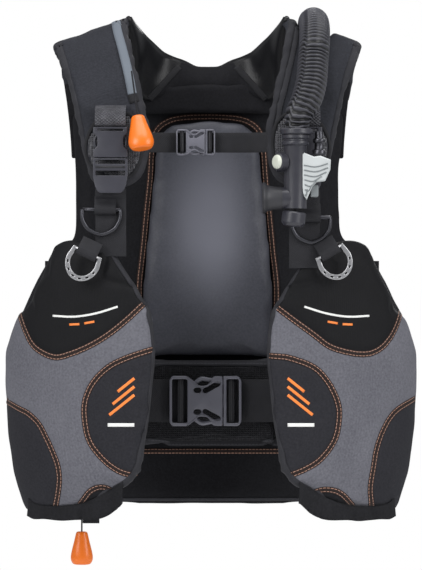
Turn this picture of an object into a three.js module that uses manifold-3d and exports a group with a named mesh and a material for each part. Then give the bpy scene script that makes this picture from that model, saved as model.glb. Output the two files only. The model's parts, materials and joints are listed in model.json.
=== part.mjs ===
// Buoyancy compensator vest: an inflatable diving jacket on a hard backpack plate.
// Millimetres. +X is the wearer's left, +Y is behind the wearer, +Z is up.
// The origin is the centre of the tank pad's rear face, where the cylinder rests.
import * as THREE from 'three';
import { mergeVertices } from 'three/addons/utils/BufferGeometryUtils.js';
import Module from 'manifold-3d';

const wasm = await Module();
wasm.setup();

// ---- driving dimensions ----
const BODY_HALF_WIDTH = 252;
const BODY_HALF_DEPTH = 114;
const BODY_CENTRE_Y = -132;
const BACK_WALL = 24;
const LOBE_WALL = 30;
const SIDE_SEAM_X = 190;
const UPPER_CENTRE_X = -4;
const GAP = 0.4;

const PAD_THICKNESS = 17;
const PAD_SLOPE = 0.337;
const PAD_CREST_X = 102;

const TANK_RADIUS = 92;
const BAND_WIDTH = 50;
const BAND_THICKNESS = 3;
const PLATE_FRONT = -14;
const PLATE_REAR = -3.7;
const PAD_HALF_WIDTH = 50;
const PAD_HALF_HEIGHT = 115;
const SLOT_X = 62;

const SHOULDER_STRAP = 38;
const CHEST_STRAP = 25;
const WAIST_STRAP = 54;
const CHEST_Z = 171.6;
const WAIST_Z = -143.8;

const HOSE_RADIUS = 19;
const HOSE_PIVOT = [122.5, -224, 268];
const INFLATOR_X = 99;
const INFLATOR_Y = -268;
const VALVE_RADIUS = 26;

const CORD_RADIUS = 1;
const CORD_SIDES = 8;

// ---- finishes: colour, roughness, metalness ----
const FINISH = {
  shell: ['#6b6b73', 0.85, 0],
  back: ['#2b2b30', 0.8, 0],
  tongue: ['#4a4b53', 0.8, 0],
  pad: ['#333438', 0.85, 0],
  webbing: ['#303136', 0.9, 0],
  plate: ['#26272a', 0.45, 0],
  rubber: ['#1c1c1e', 0.9, 0],
  buckle: ['#6f6f78', 0.5, 0],
  orange: ['#f5862a', 0.45, 0],
  black: ['#1f2023', 0.5, 0],
  lever: ['#c9d1d3', 0.4, 0],
  cream: ['#d5d9cc', 0.4, 0],
  steel: ['#b9b9b9', 0.3, 1],
  darkSteel: ['#3a3a3c', 0.4, 0.8],
  cord: ['#1a1a1c', 0.9, 0],
};

// ---- solids: joining and cutting ----
function signedVolume(position, index) {
  const a = new THREE.Vector3();
  const b = new THREE.Vector3();
  const c = new THREE.Vector3();
  let sum = 0;
  for (let i = 0; i < index.length; i += 3) {
    a.fromBufferAttribute(position, index[i]);
    b.fromBufferAttribute(position, index[i + 1]);
    c.fromBufferAttribute(position, index[i + 2]);
    sum += a.dot(b.cross(c));
  }
  return sum;
}

function solid(geometry) {
  const bare = geometry.clone();
  bare.deleteAttribute('normal');
  bare.deleteAttribute('uv');
  const merged = mergeVertices(bare, 1e-4);
  const index = Array.from(merged.index.array);
  if (signedVolume(merged.attributes.position, index) < 0) {
    for (let i = 0; i < index.length; i += 3) {
      [index[i], index[i + 1]] = [index[i + 1], index[i]];
    }
  }
  const mesh = new wasm.Mesh({
    numProp: 3,
    vertProperties: Float32Array.from(merged.attributes.position.array),
    triVerts: Uint32Array.from(index),
  });
  mesh.merge();
  return new wasm.Manifold(mesh);
}

function geometryOf(body) {
  const mesh = body.getMesh();
  const geometry = new THREE.BufferGeometry();
  geometry.setAttribute('position', new THREE.BufferAttribute(mesh.vertProperties, 3));
  geometry.setIndex(new THREE.BufferAttribute(mesh.triVerts, 1));
  const merged = mergeVertices(geometry, 1e-3);
  merged.computeVertexNormals();
  return merged;
}

function joined(...geometries) {
  return geometryOf(geometries.map(solid).reduce((a, b) => a.add(b)));
}

function cut(geometry, ...tools) {
  return geometryOf([geometry, ...tools].map(solid).reduce((a, b) => a.subtract(b)));
}

function common(a, b) {
  return geometryOf(solid(a).intersect(solid(b)));
}

// ---- plain shapes ----
function box(x0, x1, y0, y1, z0, z1) {
  const geometry = new THREE.BoxGeometry(x1 - x0, y1 - y0, z1 - z0);
  return geometry.translate((x0 + x1) / 2, (y0 + y1) / 2, (z0 + z1) / 2);
}

function polygon(points) {
  return new THREE.Shape(points.map(([x, y]) => new THREE.Vector2(x, y)));
}

function rounded(x0, y0, x1, y1, r) {
  const shape = new THREE.Shape();
  shape.moveTo(x0 + r, y0);
  shape.lineTo(x1 - r, y0);
  shape.absarc(x1 - r, y0 + r, r, -Math.PI / 2, 0);
  shape.lineTo(x1, y1 - r);
  shape.absarc(x1 - r, y1 - r, r, 0, Math.PI / 2);
  shape.lineTo(x0 + r, y1);
  shape.absarc(x0 + r, y1 - r, r, Math.PI / 2, Math.PI);
  shape.lineTo(x0, y0 + r);
  shape.absarc(x0 + r, y0 + r, r, Math.PI, Math.PI * 1.5);
  return shape;
}

function prism(shape, depth, bevel = 0) {
  return new THREE.ExtrudeGeometry(shape, {
    depth: depth - 2 * bevel,
    curveSegments: 2,
    bevelEnabled: bevel > 0,
    bevelThickness: bevel,
    bevelSize: bevel,
    bevelOffset: -bevel,
    bevelSegments: 1,
  }).translate(0, 0, bevel);
}

// a front-view (x, z) shape standing between two depths
function frontPrism(shape, y0, y1, bevel = 0) {
  return prism(shape, y1 - y0, bevel).rotateX(Math.PI / 2).translate(0, y1, 0);
}

// a side-view (y, z) shape running from x0 to x1
function sidePrism(shape, x0, x1) {
  const turn = new THREE.Matrix4().set(0, 0, 1, x0, 1, 0, 0, 0, 0, 1, 0, 0, 0, 0, 0, 1);
  return prism(shape, x1 - x0).applyMatrix4(turn);
}

// a plan-view (x, y) shape standing between two heights
function planPrism(shape, z0, z1) {
  return prism(shape, z1 - z0).translate(0, 0, z0);
}

function mirrored(points, axis) {
  return points.map(([x, z]) => [2 * axis - x, z]).reverse();
}

// a strap's edge-on outline: a line of points given a thickness
function ribbon(points, thickness, closed = false) {
  const count = points.length;
  const sides = [[], []];
  points.forEach(([x, y], i) => {
    const before = points[closed ? (i + count - 1) % count : Math.max(i - 1, 0)];
    const after = points[closed ? (i + 1) % count : Math.min(i + 1, count - 1)];
    const along = new THREE.Vector2(after[0] - before[0], after[1] - before[1]).normalize();
    sides.forEach((side, k) => {
      const out = (k ? -1 : 1) * thickness / 2;
      side.push([x - along.y * out, y + along.x * out]);
    });
  });
  if (!closed) {
    return polygon([...sides[0], ...sides[1].reverse()]);
  }
  const shape = polygon(sides[1]);
  shape.holes.push(new THREE.Path(sides[0].map(([x, y]) => new THREE.Vector2(x, y))));
  return shape;
}

function lathe(profile, segments = 20) {
  return new THREE.LatheGeometry(profile.map(([r, y]) => new THREE.Vector2(r, y)), segments);
}

function uprightLathe(profile, segments = 20) {
  return lathe(profile, segments).rotateX(Math.PI / 2);
}

function rod(radius, y0, y1, segments = 16) {
  return lathe([[0, y0], [radius, y0], [radius, y1], [0, y1]], segments);
}

function tube(points, radius, sides, steps) {
  const path = new THREE.CatmullRomCurve3(points.map((p) => new THREE.Vector3(...p)));
  const ring = new THREE.Shape();
  for (let i = 0; i <= sides; i += 1) {
    const angle = (i / sides) * 2 * Math.PI;
    ring[i ? 'lineTo' : 'moveTo'](radius * Math.cos(angle), radius * Math.sin(angle));
  }
  return new THREE.ExtrudeGeometry(ring, { steps, bevelEnabled: false, extrudePath: path });
}

// ---- the assembly ----
const vest = new THREE.Group();
vest.name = 'buoyancy_vest';

function add(name, geometry, finish, position = [0, 0, 0], rotation = [0, 0, 0]) {
  const [color, roughness, metalness] = FINISH[finish];
  const material = new THREE.MeshStandardMaterial({ color, roughness, metalness });
  material.name = `${finish}_finish`;
  const clean = geometryOf(solid(geometry));
  const mesh = new THREE.Mesh(clean, material);
  mesh.name = name;
  mesh.position.set(...position);
  mesh.rotation.set(...rotation);
  vest.add(mesh);
  return mesh;
}

// ---- air cell: back section and two front lobes, cut from one oval barrel ----
const BARREL = [[222, -286], [231, -264], [242, -227], [249, -178], [252, -123], [252, 300]];

function barrel(inset) {
  const widths = BARREL.map(([r, z]) => [r - inset, z]);
  const profile = [[0, widths[0][1]], ...widths, [0, 300]];
  const depth = (BODY_HALF_DEPTH - inset) / (BODY_HALF_WIDTH - inset);
  return uprightLathe(profile, 44).scale(1, depth, 1).translate(0, BODY_CENTRE_Y, 0);
}

function shell(wall) {
  const inside = barrel(wall);
  inside.scale(1, 1, 1.02);
  return cut(barrel(0), inside);
}

const BACK_UPPER = [
  [-190, 48], [-176, 62], [-176, 94], [-175, 145], [-178, 195], [-180, 221],
  [-110, 224], [-96, 246], [-93, 260], [-60, 266],
];
const backOutline = polygon([
  [190, 48], [190, -276], [150, -280], [60, -283], [-60, -283], [-150, -280], [-190, -276],
  ...BACK_UPPER,
  ...mirrored(BACK_UPPER.slice(1), UPPER_CENTRE_X),
]);
const valvePocket = rod(VALVE_RADIUS + GAP, -46, 0, 20);
const lowerPocket = rod(VALVE_RADIUS + GAP, -56, 0, 20);
const backCell = cut(
  common(shell(BACK_WALL), frontPrism(backOutline, BODY_CENTRE_Y, 0)),
  valvePocket.clone().translate(-128, 0, 190),
  valvePocket.clone().translate(128, 0, 190),
  lowerPocket.clone().translate(-150, 0, -205),
);
add('back_cell', backCell, 'back');

const LOBE_FRONT = [
  [-193, 52], [-174, 59], [-120, 53], [-105, 32], [-84, 2], [-76, -11], [-65, -32],
  [-60, -82], [-63, -121], [-67, -161], [-73, -200], [-78, -226], [-95, -245],
  [-121, -256], [-129, -268], [-155, -272], [-179, -277], [-223, -280], [-262, -282],
  [-262, -110], [-248, -74], [-235, -37], [-215, 6],
];
const LOBE_REAR = [
  [-SIDE_SEAM_X - GAP, 50], [-215, 6], [-235, -37], [-248, -74], [-262, -110],
  [-262, -280], [-SIDE_SEAM_X - GAP, -276],
];

function lobe(flip) {
  const outline = (points) => polygon(flip ? mirrored(points, 0) : points);
  const region = joined(
    frontPrism(outline(LOBE_FRONT), -260, BODY_CENTRE_Y + 0.05),
    frontPrism(outline(LOBE_REAR), BODY_CENTRE_Y, 0),
  );
  return common(shell(LOBE_WALL), region);
}

add('right_lobe', lobe(false), 'shell');
add('left_lobe', lobe(true), 'shell');

// ---- pads inside the back ----
const backTongue = polygon([
  [-89, -8], [-85, 44], [-80, 90], [-76, 131], [-72, 165], [-66, 186], [-50, 197],
  [-4, 202], [42, 197], [58, 186], [64, 165], [68, 131], [72, 90], [77, 44], [81, -8],
  [81, -86], [-89, -86],
]);
add('back_pad', frontPrism(backTongue, -66, -52.5, 3), 'tongue');
add('neck_pad', frontPrism(rounded(-90, 206, 82, 259, 16), -66, -53, 3), 'pad');
add('lumbar_pad', frontPrism(rounded(-92, -202, 84, -89, 8), -72, -55, 3), 'pad');

// ---- shoulder pads: a strap profile run sideways, sloped outwards, then trimmed ----
const PAD_PROFILE = [
  [-232, 60], [-232, 105], [-228, 180], [-212, 240], [-180, 295], [-130, 331],
  [-80, 322], [-45, 287], [-27, 242], [-22, 190],
];
const SADDLE_PROFILE = [
  [-232, 110], [-228, 180], [-214, 236], [-196, 266], [-165, 290], [-130, 298],
  [-95, 293], [-62, 274], [-40, 250], [-27, 215],
];
const PAD_FRONT = [
  [-102, 345], [-205, 345], [-197.5, 300], [-176, 240], [-163, 184], [-156, 149],
  [-148, 130], [-136, 117], [-114, 112], [-90, 119], [-77, 134], [-71, 161],
  [-70, 184], [-74, 208], [-81, 240], [-91, 279], [-98, 312],
];
const PAD_REAR = [
  [-102, 345], [-205, 345], [-197.5, 300], [-183, 226], [-114, 228], [-100, 248],
  [-97, 266], [-62, 271], [-60, 288], [-74, 300], [-96, 322],
];

function padBand(profile) {
  const middle = profile.map(([y, z], i) => {
    const before = profile[Math.max(i - 1, 0)];
    const after = profile[Math.min(i + 1, profile.length - 1)];
    const along = new THREE.Vector2(after[0] - before[0], after[1] - before[1]).normalize();
    return [y + along.y * PAD_THICKNESS / 2, z - along.x * PAD_THICKNESS / 2];
  });
  return ribbon(middle, PAD_THICKNESS);
}

function shoulderPad(flip) {
  const side = flip ? -1 : 1;
  const place = (points) => polygon(flip ? mirrored(points, UPPER_CENTRE_X) : points);
  const slope = new THREE.Matrix4().makeShear(0, side * PAD_SLOPE, 0, 0, 0, 0);
  const crest = flip ? 2 * UPPER_CENTRE_X + PAD_CREST_X : -PAD_CREST_X;
  const strip = sidePrism(padBand(PAD_PROFILE), flip ? 40 : -215, flip ? 215 : -50);
  strip.applyMatrix4(slope).translate(0, 0, -crest * side * PAD_SLOPE);
  const front = frontPrism(place(PAD_FRONT), -260, -129.9);
  const rear = frontPrism(place(PAD_REAR), -130, 0);
  return common(strip, joined(front, rear));
}

const HOSE_UPPER_PATH = [
  [129, -3, 241], [129, -11, 265], [129, -38, 292], [129, -78, 312], [129, -115, 318.5],
  [129, -150, 316], [128.5, -182, 305], [125.4, -212.6, 283.8],
];
add('right_shoulder_pad', shoulderPad(false), 'pad');

const saddle = common(
  sidePrism(padBand(SADDLE_PROFILE), 107, 151),
  frontPrism(rounded(100, 228, 160, 330, 4), -260, 0),
);
const leftPad = cut(
  joined(shoulderPad(true), saddle),
  tube(HOSE_UPPER_PATH, HOSE_RADIUS + 1.2, 12, 12),
  new THREE.SphereGeometry(HOSE_RADIUS + 1.2, 12, 8).translate(...HOSE_PIVOT),
);
add('left_shoulder_pad', leftPad, 'pad');

// ---- hard backpack plate, tank pad and carrying handle ----
const plateShape = rounded(-76, -150, 76, 190, 22);
for (const side of [-1, 1]) {
  const x = side * SLOT_X;
  plateShape.holes.push(rounded(x - 4, -27, x + 4, 27, 3));
}
add('backplate', frontPrism(plateShape, PLATE_FRONT, PLATE_REAR), 'plate');

const padFace = rounded(
  -PAD_HALF_WIDTH, -PAD_HALF_HEIGHT, PAD_HALF_WIDTH, PAD_HALF_HEIGHT, 10,
);
add('tank_pad', frontPrism(padFace, PLATE_REAR + GAP, 0), 'rubber');

const HANDLE_LINE = [[-46, 190.5], [-43, 214], [-34, 225], [34, 225], [43, 214], [46, 190.5]];
add('carry_handle', frontPrism(ribbon(HANDLE_LINE, 4), -13, 9), 'webbing');

// ---- tank band: across the plate, through both slots and round the cylinder ----
function bandLine() {
  const radius = TANK_RADIUS + GAP + BAND_THICKNESS / 2;
  const points = [[-SLOT_X, -15.9], [SLOT_X, -15.9], [SLOT_X + 0.5, 4]];
  for (let degrees = -48; degrees <= 228; degrees += 12) {
    const angle = THREE.MathUtils.degToRad(degrees);
    points.push([radius * Math.cos(angle), TANK_RADIUS + radius * Math.sin(angle)]);
  }
  points.push([-SLOT_X - 0.5, 4]);
  return points;
}
const band = ribbon(bandLine(), BAND_THICKNESS, true);
add('tank_band', planPrism(band, -BAND_WIDTH / 2, BAND_WIDTH / 2), 'webbing');

const PIN_X = 109;
const PIN_Y = 70;
const frame = cut(
  joined(
    box(98, 101, 60, 124, -31, 31),
    box(98, 115, 60, 84, 28, 31),
    box(98, 115, 60, 84, -31, -28),
  ),
  rod(2.9, -40, 40, 12).rotateX(Math.PI / 2).translate(PIN_X, PIN_Y, 0),
);
add('cam_buckle_frame', frame, 'darkSteel');
add('cam_buckle_pin', rod(2.5, -33, 33, 12).rotateX(Math.PI / 2), 'steel', [PIN_X, PIN_Y, 0]);
const lever = cut(
  joined(
    rod(6, -27, 27, 16).rotateX(Math.PI / 2),
    box(-1, 5, 0, 64, -27, 27),
    box(1, 9, 56, 64, -27, 27),
  ),
  rod(2.9, -40, 40, 12).rotateX(Math.PI / 2),
);
add('cam_buckle_lever', lever, 'plate', [PIN_X, PIN_Y, 0]);

// ---- side-release buckles, drawn with the pull along +X ----
function buckleSocket(b) {
  const half = b.height / 2;
  const parts = [
    box(-b.depth, 1, b.skin, b.thickness - b.skin, -half + b.wall, half - b.wall),
    frontPrism(
      rounded(-b.length + 4.5, -half + 6, -b.length + 9.5, half - 6, 1), -1, b.thickness + 1,
    ),
  ];
  for (const side of [-1, 1]) {
    const window = box(-b.depth + 1.5, -b.depth + 14, -1, b.thickness + 1, half - 4.6, half + 1);
    parts.push(side > 0 ? window : window.rotateX(Math.PI).translate(0, b.thickness, 0));
  }
  return cut(frontPrism(rounded(-b.length, -half, 0, half, 5), 0, b.thickness), ...parts);
}

function buckleTongue(b) {
  const half = b.height / 2;
  const reach = -b.depth + 2;
  const near = b.skin + 0.5;
  const far = b.thickness - b.skin - 0.5;
  const edge = half - b.wall - 0.6;
  const base = frontPrism(rounded(0.5, -half, b.reach, half, 3), 0, b.base);
  const whole = joined(
    base,
    box(reach, 1.5, near, far, -b.height * 0.14, b.height * 0.14),
    box(reach, 1.5, near, far, edge - 4.5, edge),
    box(reach, 1.5, near, far, -edge, -edge + 4.5),
  );
  const slots = b.slots.map((u) => frontPrism(
    rounded(u - 2.2, -half + 6, u + 2.2, half - 6, 1), -1, b.thickness + 1,
  ));
  return cut(whole, ...slots);
}

const WAIST = {
  height: 62, thickness: 13, length: 66.5, depth: 30, wall: 4, skin: 2.4, base: 13,
  reach: 23, slots: [8, 16],
};
const CHEST = {
  height: 31.4, thickness: 9, length: 35, depth: 20, wall: 3.4, skin: 2, base: 9,
  reach: 15, slots: [9],
};
const SHOULDER = {
  height: 41, thickness: 11, length: 36.5, depth: 17, wall: 3.6, skin: 2.2, base: 5.6,
  reach: 42, slots: [10, 19],
};

add('waist_buckle_socket', buckleSocket(WAIST), 'buckle', [14.9, -105, WAIST_Z]);
add('waist_buckle_tongue', buckleTongue(WAIST), 'buckle', [14.9, -105, WAIST_Z]);
add('chest_buckle_socket', buckleSocket(CHEST), 'buckle', [-7, -197, CHEST_Z]);
add('chest_buckle_tongue', buckleTongue(CHEST), 'buckle', [-7, -197, CHEST_Z]);

const SHOULDER_X = { right: -119, left: 111 };
for (const [side, x] of Object.entries(SHOULDER_X)) {
  const turn = [0, Math.PI / 2, 0];
  const position = [x, -247.5, 150.5];
  add(`${side}_shoulder_buckle_socket`, buckleSocket(SHOULDER), 'buckle', position, turn);
  add(`${side}_shoulder_buckle_tongue`, buckleTongue(SHOULDER), 'buckle', position, turn);
}

// ---- webbing ----
const SHOULDER_WEB_LINE = [[-234, 118], [-231, 160], [-230.4, 182], [-214.6, 240], [-200, 265]];
for (const [side, x] of Object.entries(SHOULDER_X)) {
  const half = SHOULDER_STRAP / 2;
  const web = sidePrism(ribbon(SHOULDER_WEB_LINE, 1.6), x - half, x + half);
  add(`${side}_shoulder_webbing`, web.translate(0, -0.6, 0), 'webbing');
}

const CHEST_WEB_Y = -186;
const chestRight = [[-90, -204], [-70, -200], [-54, CHEST_WEB_Y], [-12, CHEST_WEB_Y]];
const chestLeft = [[-2, CHEST_WEB_Y], [46, CHEST_WEB_Y], [62, -200], [82, -204]];
const chestHalf = CHEST_STRAP / 2;
for (const [side, line] of [['right', chestRight], ['left', chestLeft]]) {
  const web = planPrism(ribbon(line, 1.8), CHEST_Z - chestHalf, CHEST_Z + chestHalf);
  add(`${side}_chest_webbing`, web, 'webbing');
}

const WAIST_WEB_LINE = [
  [24, -90], [88, -90], [110, -92], [140, -99], [170, -109], [196, -120], [213, -132],
];
for (const side of ['right', 'left']) {
  const line = side === 'left' ? WAIST_WEB_LINE : mirrored(WAIST_WEB_LINE, 0);
  const web = planPrism(ribbon(line, 2), WAIST_Z - WAIST_STRAP / 2, WAIST_Z + WAIST_STRAP / 2);
  add(`${side}_waist_webbing`, web, 'webbing');
}

// ---- D-rings: a flat bar on top, hanging from a webbing loop ----
function dRing(width, height, bar, thickness) {
  const half = width / 2;
  const outer = new THREE.Shape();
  outer.moveTo(-half, bar / 2);
  outer.lineTo(half, bar / 2);
  outer.lineTo(half, -height * 0.3);
  outer.quadraticCurveTo(half, -height + bar / 2, 0, -height + bar / 2);
  outer.quadraticCurveTo(-half, -height + bar / 2, -half, -height * 0.3);
  const inner = new THREE.Path();
  inner.moveTo(-half + bar, -bar / 2);
  inner.lineTo(-half + bar, -height * 0.3);
  inner.quadraticCurveTo(-half + bar, -height + bar * 1.5, 0, -height + bar * 1.5);
  inner.quadraticCurveTo(half - bar, -height + bar * 1.5, half - bar, -height * 0.3);
  inner.lineTo(half - bar, -bar / 2);
  outer.holes.push(inner);
  const ring = new THREE.ExtrudeGeometry(outer, {
    depth: thickness - 2,
    curveSegments: 5,
    bevelThickness: 1,
    bevelSize: 1,
    bevelOffset: -1,
    bevelSegments: 1,
  });
  return ring.translate(0, 0, 1 - thickness / 2).rotateX(Math.PI / 2);
}

function ringLoop(x0, x1) {
  return rod(5, x0, x1, 16).rotateZ(-Math.PI / 2);
}

function ringHole() {
  return rod(3.5, -60, 60, 16).rotateZ(-Math.PI / 2);
}

const STRAP_RING = {
  right: { x: -130.3, y: -235.2, z: 89.5, from: -8.5, to: 18, foot: 60 },
  left: { x: 118.4, y: -238.6, z: 80, from: -18, to: 12, foot: 46 },
};
for (const [side, ring] of Object.entries(STRAP_RING)) {
  const x = SHOULDER_X[side];
  const half = SHOULDER_STRAP / 2;
  const strap = cut(
    joined(
      box(x - half, x + half, ring.y + 3, ring.y + 5.2, ring.foot, 106),
      ringLoop(ring.from, ring.to).translate(ring.x, ring.y, ring.z),
    ),
    ringHole().translate(ring.x, ring.y, ring.z),
  );
  add(`${side}_lower_strap`, strap, 'webbing');
  add(`${side}_shoulder_d_ring`, dRing(50, 32, 5, 5), 'darkSteel', [ring.x, ring.y, ring.z]);
}

const LOBE_RING = {
  right: { x: -147, z: 37, tilt: 0.44 },
  left: { x: 141, z: 38, tilt: -0.52 },
};
for (const [side, ring] of Object.entries(LOBE_RING)) {
  const tab = cut(
    joined(box(-12.5, 12.5, 3, 5, 0, 9), ringLoop(-12.5, 12.5)),
    ringHole(),
  );
  const position = [ring.x, -241.4, ring.z];
  const turn = [0, ring.tilt, 0];
  add(`${side}_lobe_ring_tab`, tab, 'webbing', position, turn);
  add(`${side}_lobe_d_ring`, dRing(42, 34, 5, 3), 'steel', position, turn);
}

// ---- pull dumps: an orange grip on a cord, and a round valve on the back ----
const KNOB_PROFILE = [
  [0, -44], [7, -43], [12.5, -38], [15, -30], [14.6, -21], [11.5, -12], [8, -5], [5, 0], [0, 0],
];

function knob() {
  return uprightLathe(KNOB_PROFILE, 16).scale(1, 0.64, 1);
}

function cord(length) {
  return tube([[0, 0, 0.4], [0, 0, length / 2], [0, 0, length]], CORD_RADIUS, CORD_SIDES, 4);
}

const PULL = new THREE.Vector3(-0.13, 0.38, 0.9).normalize();
const lean = new THREE.Quaternion().setFromUnitVectors(new THREE.Vector3(0, 0, 1), PULL);
const shoulderGrip = add('shoulder_dump_knob', knob(), 'orange', [-86.8, -243, 200]);
const shoulderCord = add('shoulder_dump_cord', cord(60), 'cord', [-86.8, -243, 200]);
shoulderGrip.quaternion.copy(lean);
shoulderCord.quaternion.copy(lean);
add('lower_dump_knob', knob().scale(0.93, 1, 0.95), 'orange', [-163, -44, -311]);
add('lower_dump_cord', cord(64), 'cord', [-163, -44, -311]);

const VALVES = { shoulder_valve: [-128, -45.5, 190], lower_valve: [-150, -55.5, -205] };
for (const [name, position] of Object.entries(VALVES)) {
  const body = lathe([
    [8, 0], [VALVE_RADIUS, 0], [VALVE_RADIUS, 22], [22, 22], [22, 4], [8, 4], [8, 0],
  ]);
  const cap = lathe([
    [5, 19], [21, 19], [21, 22.4], [23.5, 22.4], [22.5, 27], [12, 29.5], [5, 29.5], [5, 19],
  ]);
  add(`${name}_body`, body, 'black', position);
  add(`${name}_poppet`, rod(15, 4.4, 7.4, 20), 'cream', position);
  add(`${name}_cap`, cap, 'black', position);
}

// ---- corrugated hose from the left shoulder to the inflator ----
const elbow = joined(
  rod(VALVE_RADIUS, -45.5, -22, 20).translate(128, 0, 190),
  tube([[128, -30, 190], [128, -6, 191], [128.6, 4, 204], [129, 3, 219], [129, -1.5, 235]],
    17, 12, 6),
);
add('hose_elbow', elbow, 'black');
add('hose_upper', tube(HOSE_UPPER_PATH, HOSE_RADIUS, 14, 16), 'rubber');

const hoseLower = joined(
  tube([HOSE_PIVOT, [118.6, -244, 240], [112, -259, 217], [103.4, -267, 201], [100.6, -268, 188.5]],
    HOSE_RADIUS, 14, 8),
  new THREE.SphereGeometry(HOSE_RADIUS - 0.4, 14, 8).translate(...HOSE_PIVOT),
);
add('hose_lower', hoseLower, 'rubber');

// ---- oral and power inflator ----
const inflatorAt = [INFLATOR_X, INFLATOR_Y, 0];
add('hose_collar', uprightLathe([
  [0, 176.3], [17.5, 176.3], [19, 177.5], [19, 182.2], [17.5, 183.6], [0, 183.6],
]), 'black', [INFLATOR_X + 1.5, INFLATOR_Y, 0]);

const inflatorBody = cut(
  joined(
    uprightLathe([
      [0, 89.5], [13.3, 89.5], [13.3, 163], [16, 164.5], [16, 168], [14, 169], [14, 171],
      [16, 172], [16, 175.8], [0, 175.8],
    ]),
    rod(11.5, 8, 22, 20).rotateZ(Math.PI / 2).translate(0, 0, 144),
    rod(10.5, 0, 15, 20).rotateZ(Math.PI / 2).translate(0, 0, 102),
  ),
  rod(9.5, 11.8, 40, 20).rotateZ(Math.PI / 2).translate(0, 0, 144),
);
add('inflator_body', inflatorBody, 'black', inflatorAt);

const mouthpiece = lathe([
  [6.5, 15.4], [11, 15.4], [11, 29.5], [18.8, 30.5], [18.8, 36], [15, 38.5], [8, 38.5],
  [6.5, 15.4],
]).rotateZ(Math.PI / 2);
add('mouthpiece', mouthpiece, 'black', [INFLATOR_X, INFLATOR_Y, 102]);

const deflateButton = rod(9, 15.6, 27.5, 20).rotateZ(Math.PI / 2).scale(1, 0.85, 1);
add('deflate_button', deflateButton, 'cream', [INFLATOR_X, INFLATOR_Y, 144]);

const housingOutline = polygon([
  [103.2, 152.5], [109.1, 154.8], [120.5, 150.1], [127.9, 151.3], [140.2, 146.6],
  [139.6, 134.9], [133.7, 122], [124.3, 120.8], [118.5, 115], [112, 99.7], [106.7, 106.7],
  [103.7, 126.7],
]);
const housing = cut(
  frontPrism(housingOutline, INFLATOR_Y - 11, INFLATOR_Y + 11, 1.5),
  rod(13.8, 80, 170, 24).rotateX(Math.PI / 2).translate(INFLATOR_X, INFLATOR_Y, 0),
  box(106, 130, INFLATOR_Y - 7, INFLATOR_Y + 7, 90, 117.8),
);
add('inflate_housing', housing, 'lever');

const thumb = frontPrism(rounded(116.4, 103, 126, 117.2, 2), INFLATOR_Y - 6.5, INFLATOR_Y + 6.5, 1);
add('inflate_button', thumb, 'buckle');

add('inflator_nipple', uprightLathe([
  [0, 152], [7, 152], [8, 154], [8, 158], [5.5, 159.5], [5.5, 166], [7.5, 167.5],
  [7.5, 171], [5, 172.5], [5, 180], [0, 180],
], 16), 'steel', [127, INFLATOR_Y, 0]);

add('inflator_end_cap', uprightLathe([
  [0, -18], [11, -17], [14, -13], [14, -2], [12.5, 0], [0, 0],
]), 'black', [INFLATOR_X - 1, INFLATOR_Y, 86], [0, 0.12, 0]);

export default vest;
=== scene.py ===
import json
import math

import bmesh
import bpy
from mathutils import Matrix, Vector, noise
from mathutils.bvhtree import BVHTree
from mathutils.kdtree import KDTree

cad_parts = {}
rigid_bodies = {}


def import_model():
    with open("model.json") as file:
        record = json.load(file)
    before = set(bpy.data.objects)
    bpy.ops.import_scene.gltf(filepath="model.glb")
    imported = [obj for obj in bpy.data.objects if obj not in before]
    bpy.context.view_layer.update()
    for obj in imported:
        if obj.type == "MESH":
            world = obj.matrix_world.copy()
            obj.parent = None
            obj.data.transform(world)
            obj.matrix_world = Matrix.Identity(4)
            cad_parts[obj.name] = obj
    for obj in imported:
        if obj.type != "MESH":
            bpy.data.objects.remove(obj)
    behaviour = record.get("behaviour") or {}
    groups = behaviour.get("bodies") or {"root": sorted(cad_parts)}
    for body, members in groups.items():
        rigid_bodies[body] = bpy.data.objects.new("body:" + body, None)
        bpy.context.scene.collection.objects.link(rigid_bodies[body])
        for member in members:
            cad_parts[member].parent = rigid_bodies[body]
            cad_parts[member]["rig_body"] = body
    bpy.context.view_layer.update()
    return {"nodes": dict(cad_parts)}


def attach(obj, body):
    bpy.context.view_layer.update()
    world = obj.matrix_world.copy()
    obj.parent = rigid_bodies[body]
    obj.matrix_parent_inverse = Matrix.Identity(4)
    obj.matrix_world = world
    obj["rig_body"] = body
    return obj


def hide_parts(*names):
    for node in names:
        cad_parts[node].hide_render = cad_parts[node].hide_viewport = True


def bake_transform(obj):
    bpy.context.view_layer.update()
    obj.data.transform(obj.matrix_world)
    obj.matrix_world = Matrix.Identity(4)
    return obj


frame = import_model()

MM = 0.001


# ---------------------------------------------------------------- camera
# Lines drawn on the front are in mm on the plane y = DRAWN_AT, as they are seen from EYE.
EYE = Vector((0, -3.25, 0))
DRAWN_AT = -0.2


def make_camera():
    """A long lens straight in front of the chest, and the plain view transform."""
    bpy.context.scene.view_settings.view_transform = "Standard"
    data = bpy.data.cameras.new("front_camera")
    data.sensor_width = 36
    data.lens = 160.5
    camera = bpy.data.objects.new("front_camera", data)
    bpy.context.scene.collection.objects.link(camera)
    camera.location = EYE
    camera.rotation_euler = (math.pi / 2, 0, 0)
    bpy.context.scene.camera = camera


make_camera()


# ---------------------------------------------------------------- colour and materials
def linear(hex_code):
    """sRGB hex to linear RGBA."""
    out = []
    for i in (0, 2, 4):
        c = int(hex_code[i : i + 2], 16) / 255
        out.append(c / 12.92 if c <= 0.04045 else ((c + 0.055) / 1.055) ** 2.4)
    return (*out, 1.0)


def node(tree, kind, settings=None, links=None):
    """Adds a node, sets its properties or sockets, and links its inputs."""
    made = tree.nodes.new(kind)
    for key, value in (settings or {}).items():
        if isinstance(key, str) and hasattr(made, key):
            setattr(made, key, value)
        else:
            made.inputs[key].default_value = value
    for key, source in (links or {}).items():
        tree.links.new(source, made.inputs[key])
    return made


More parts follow.
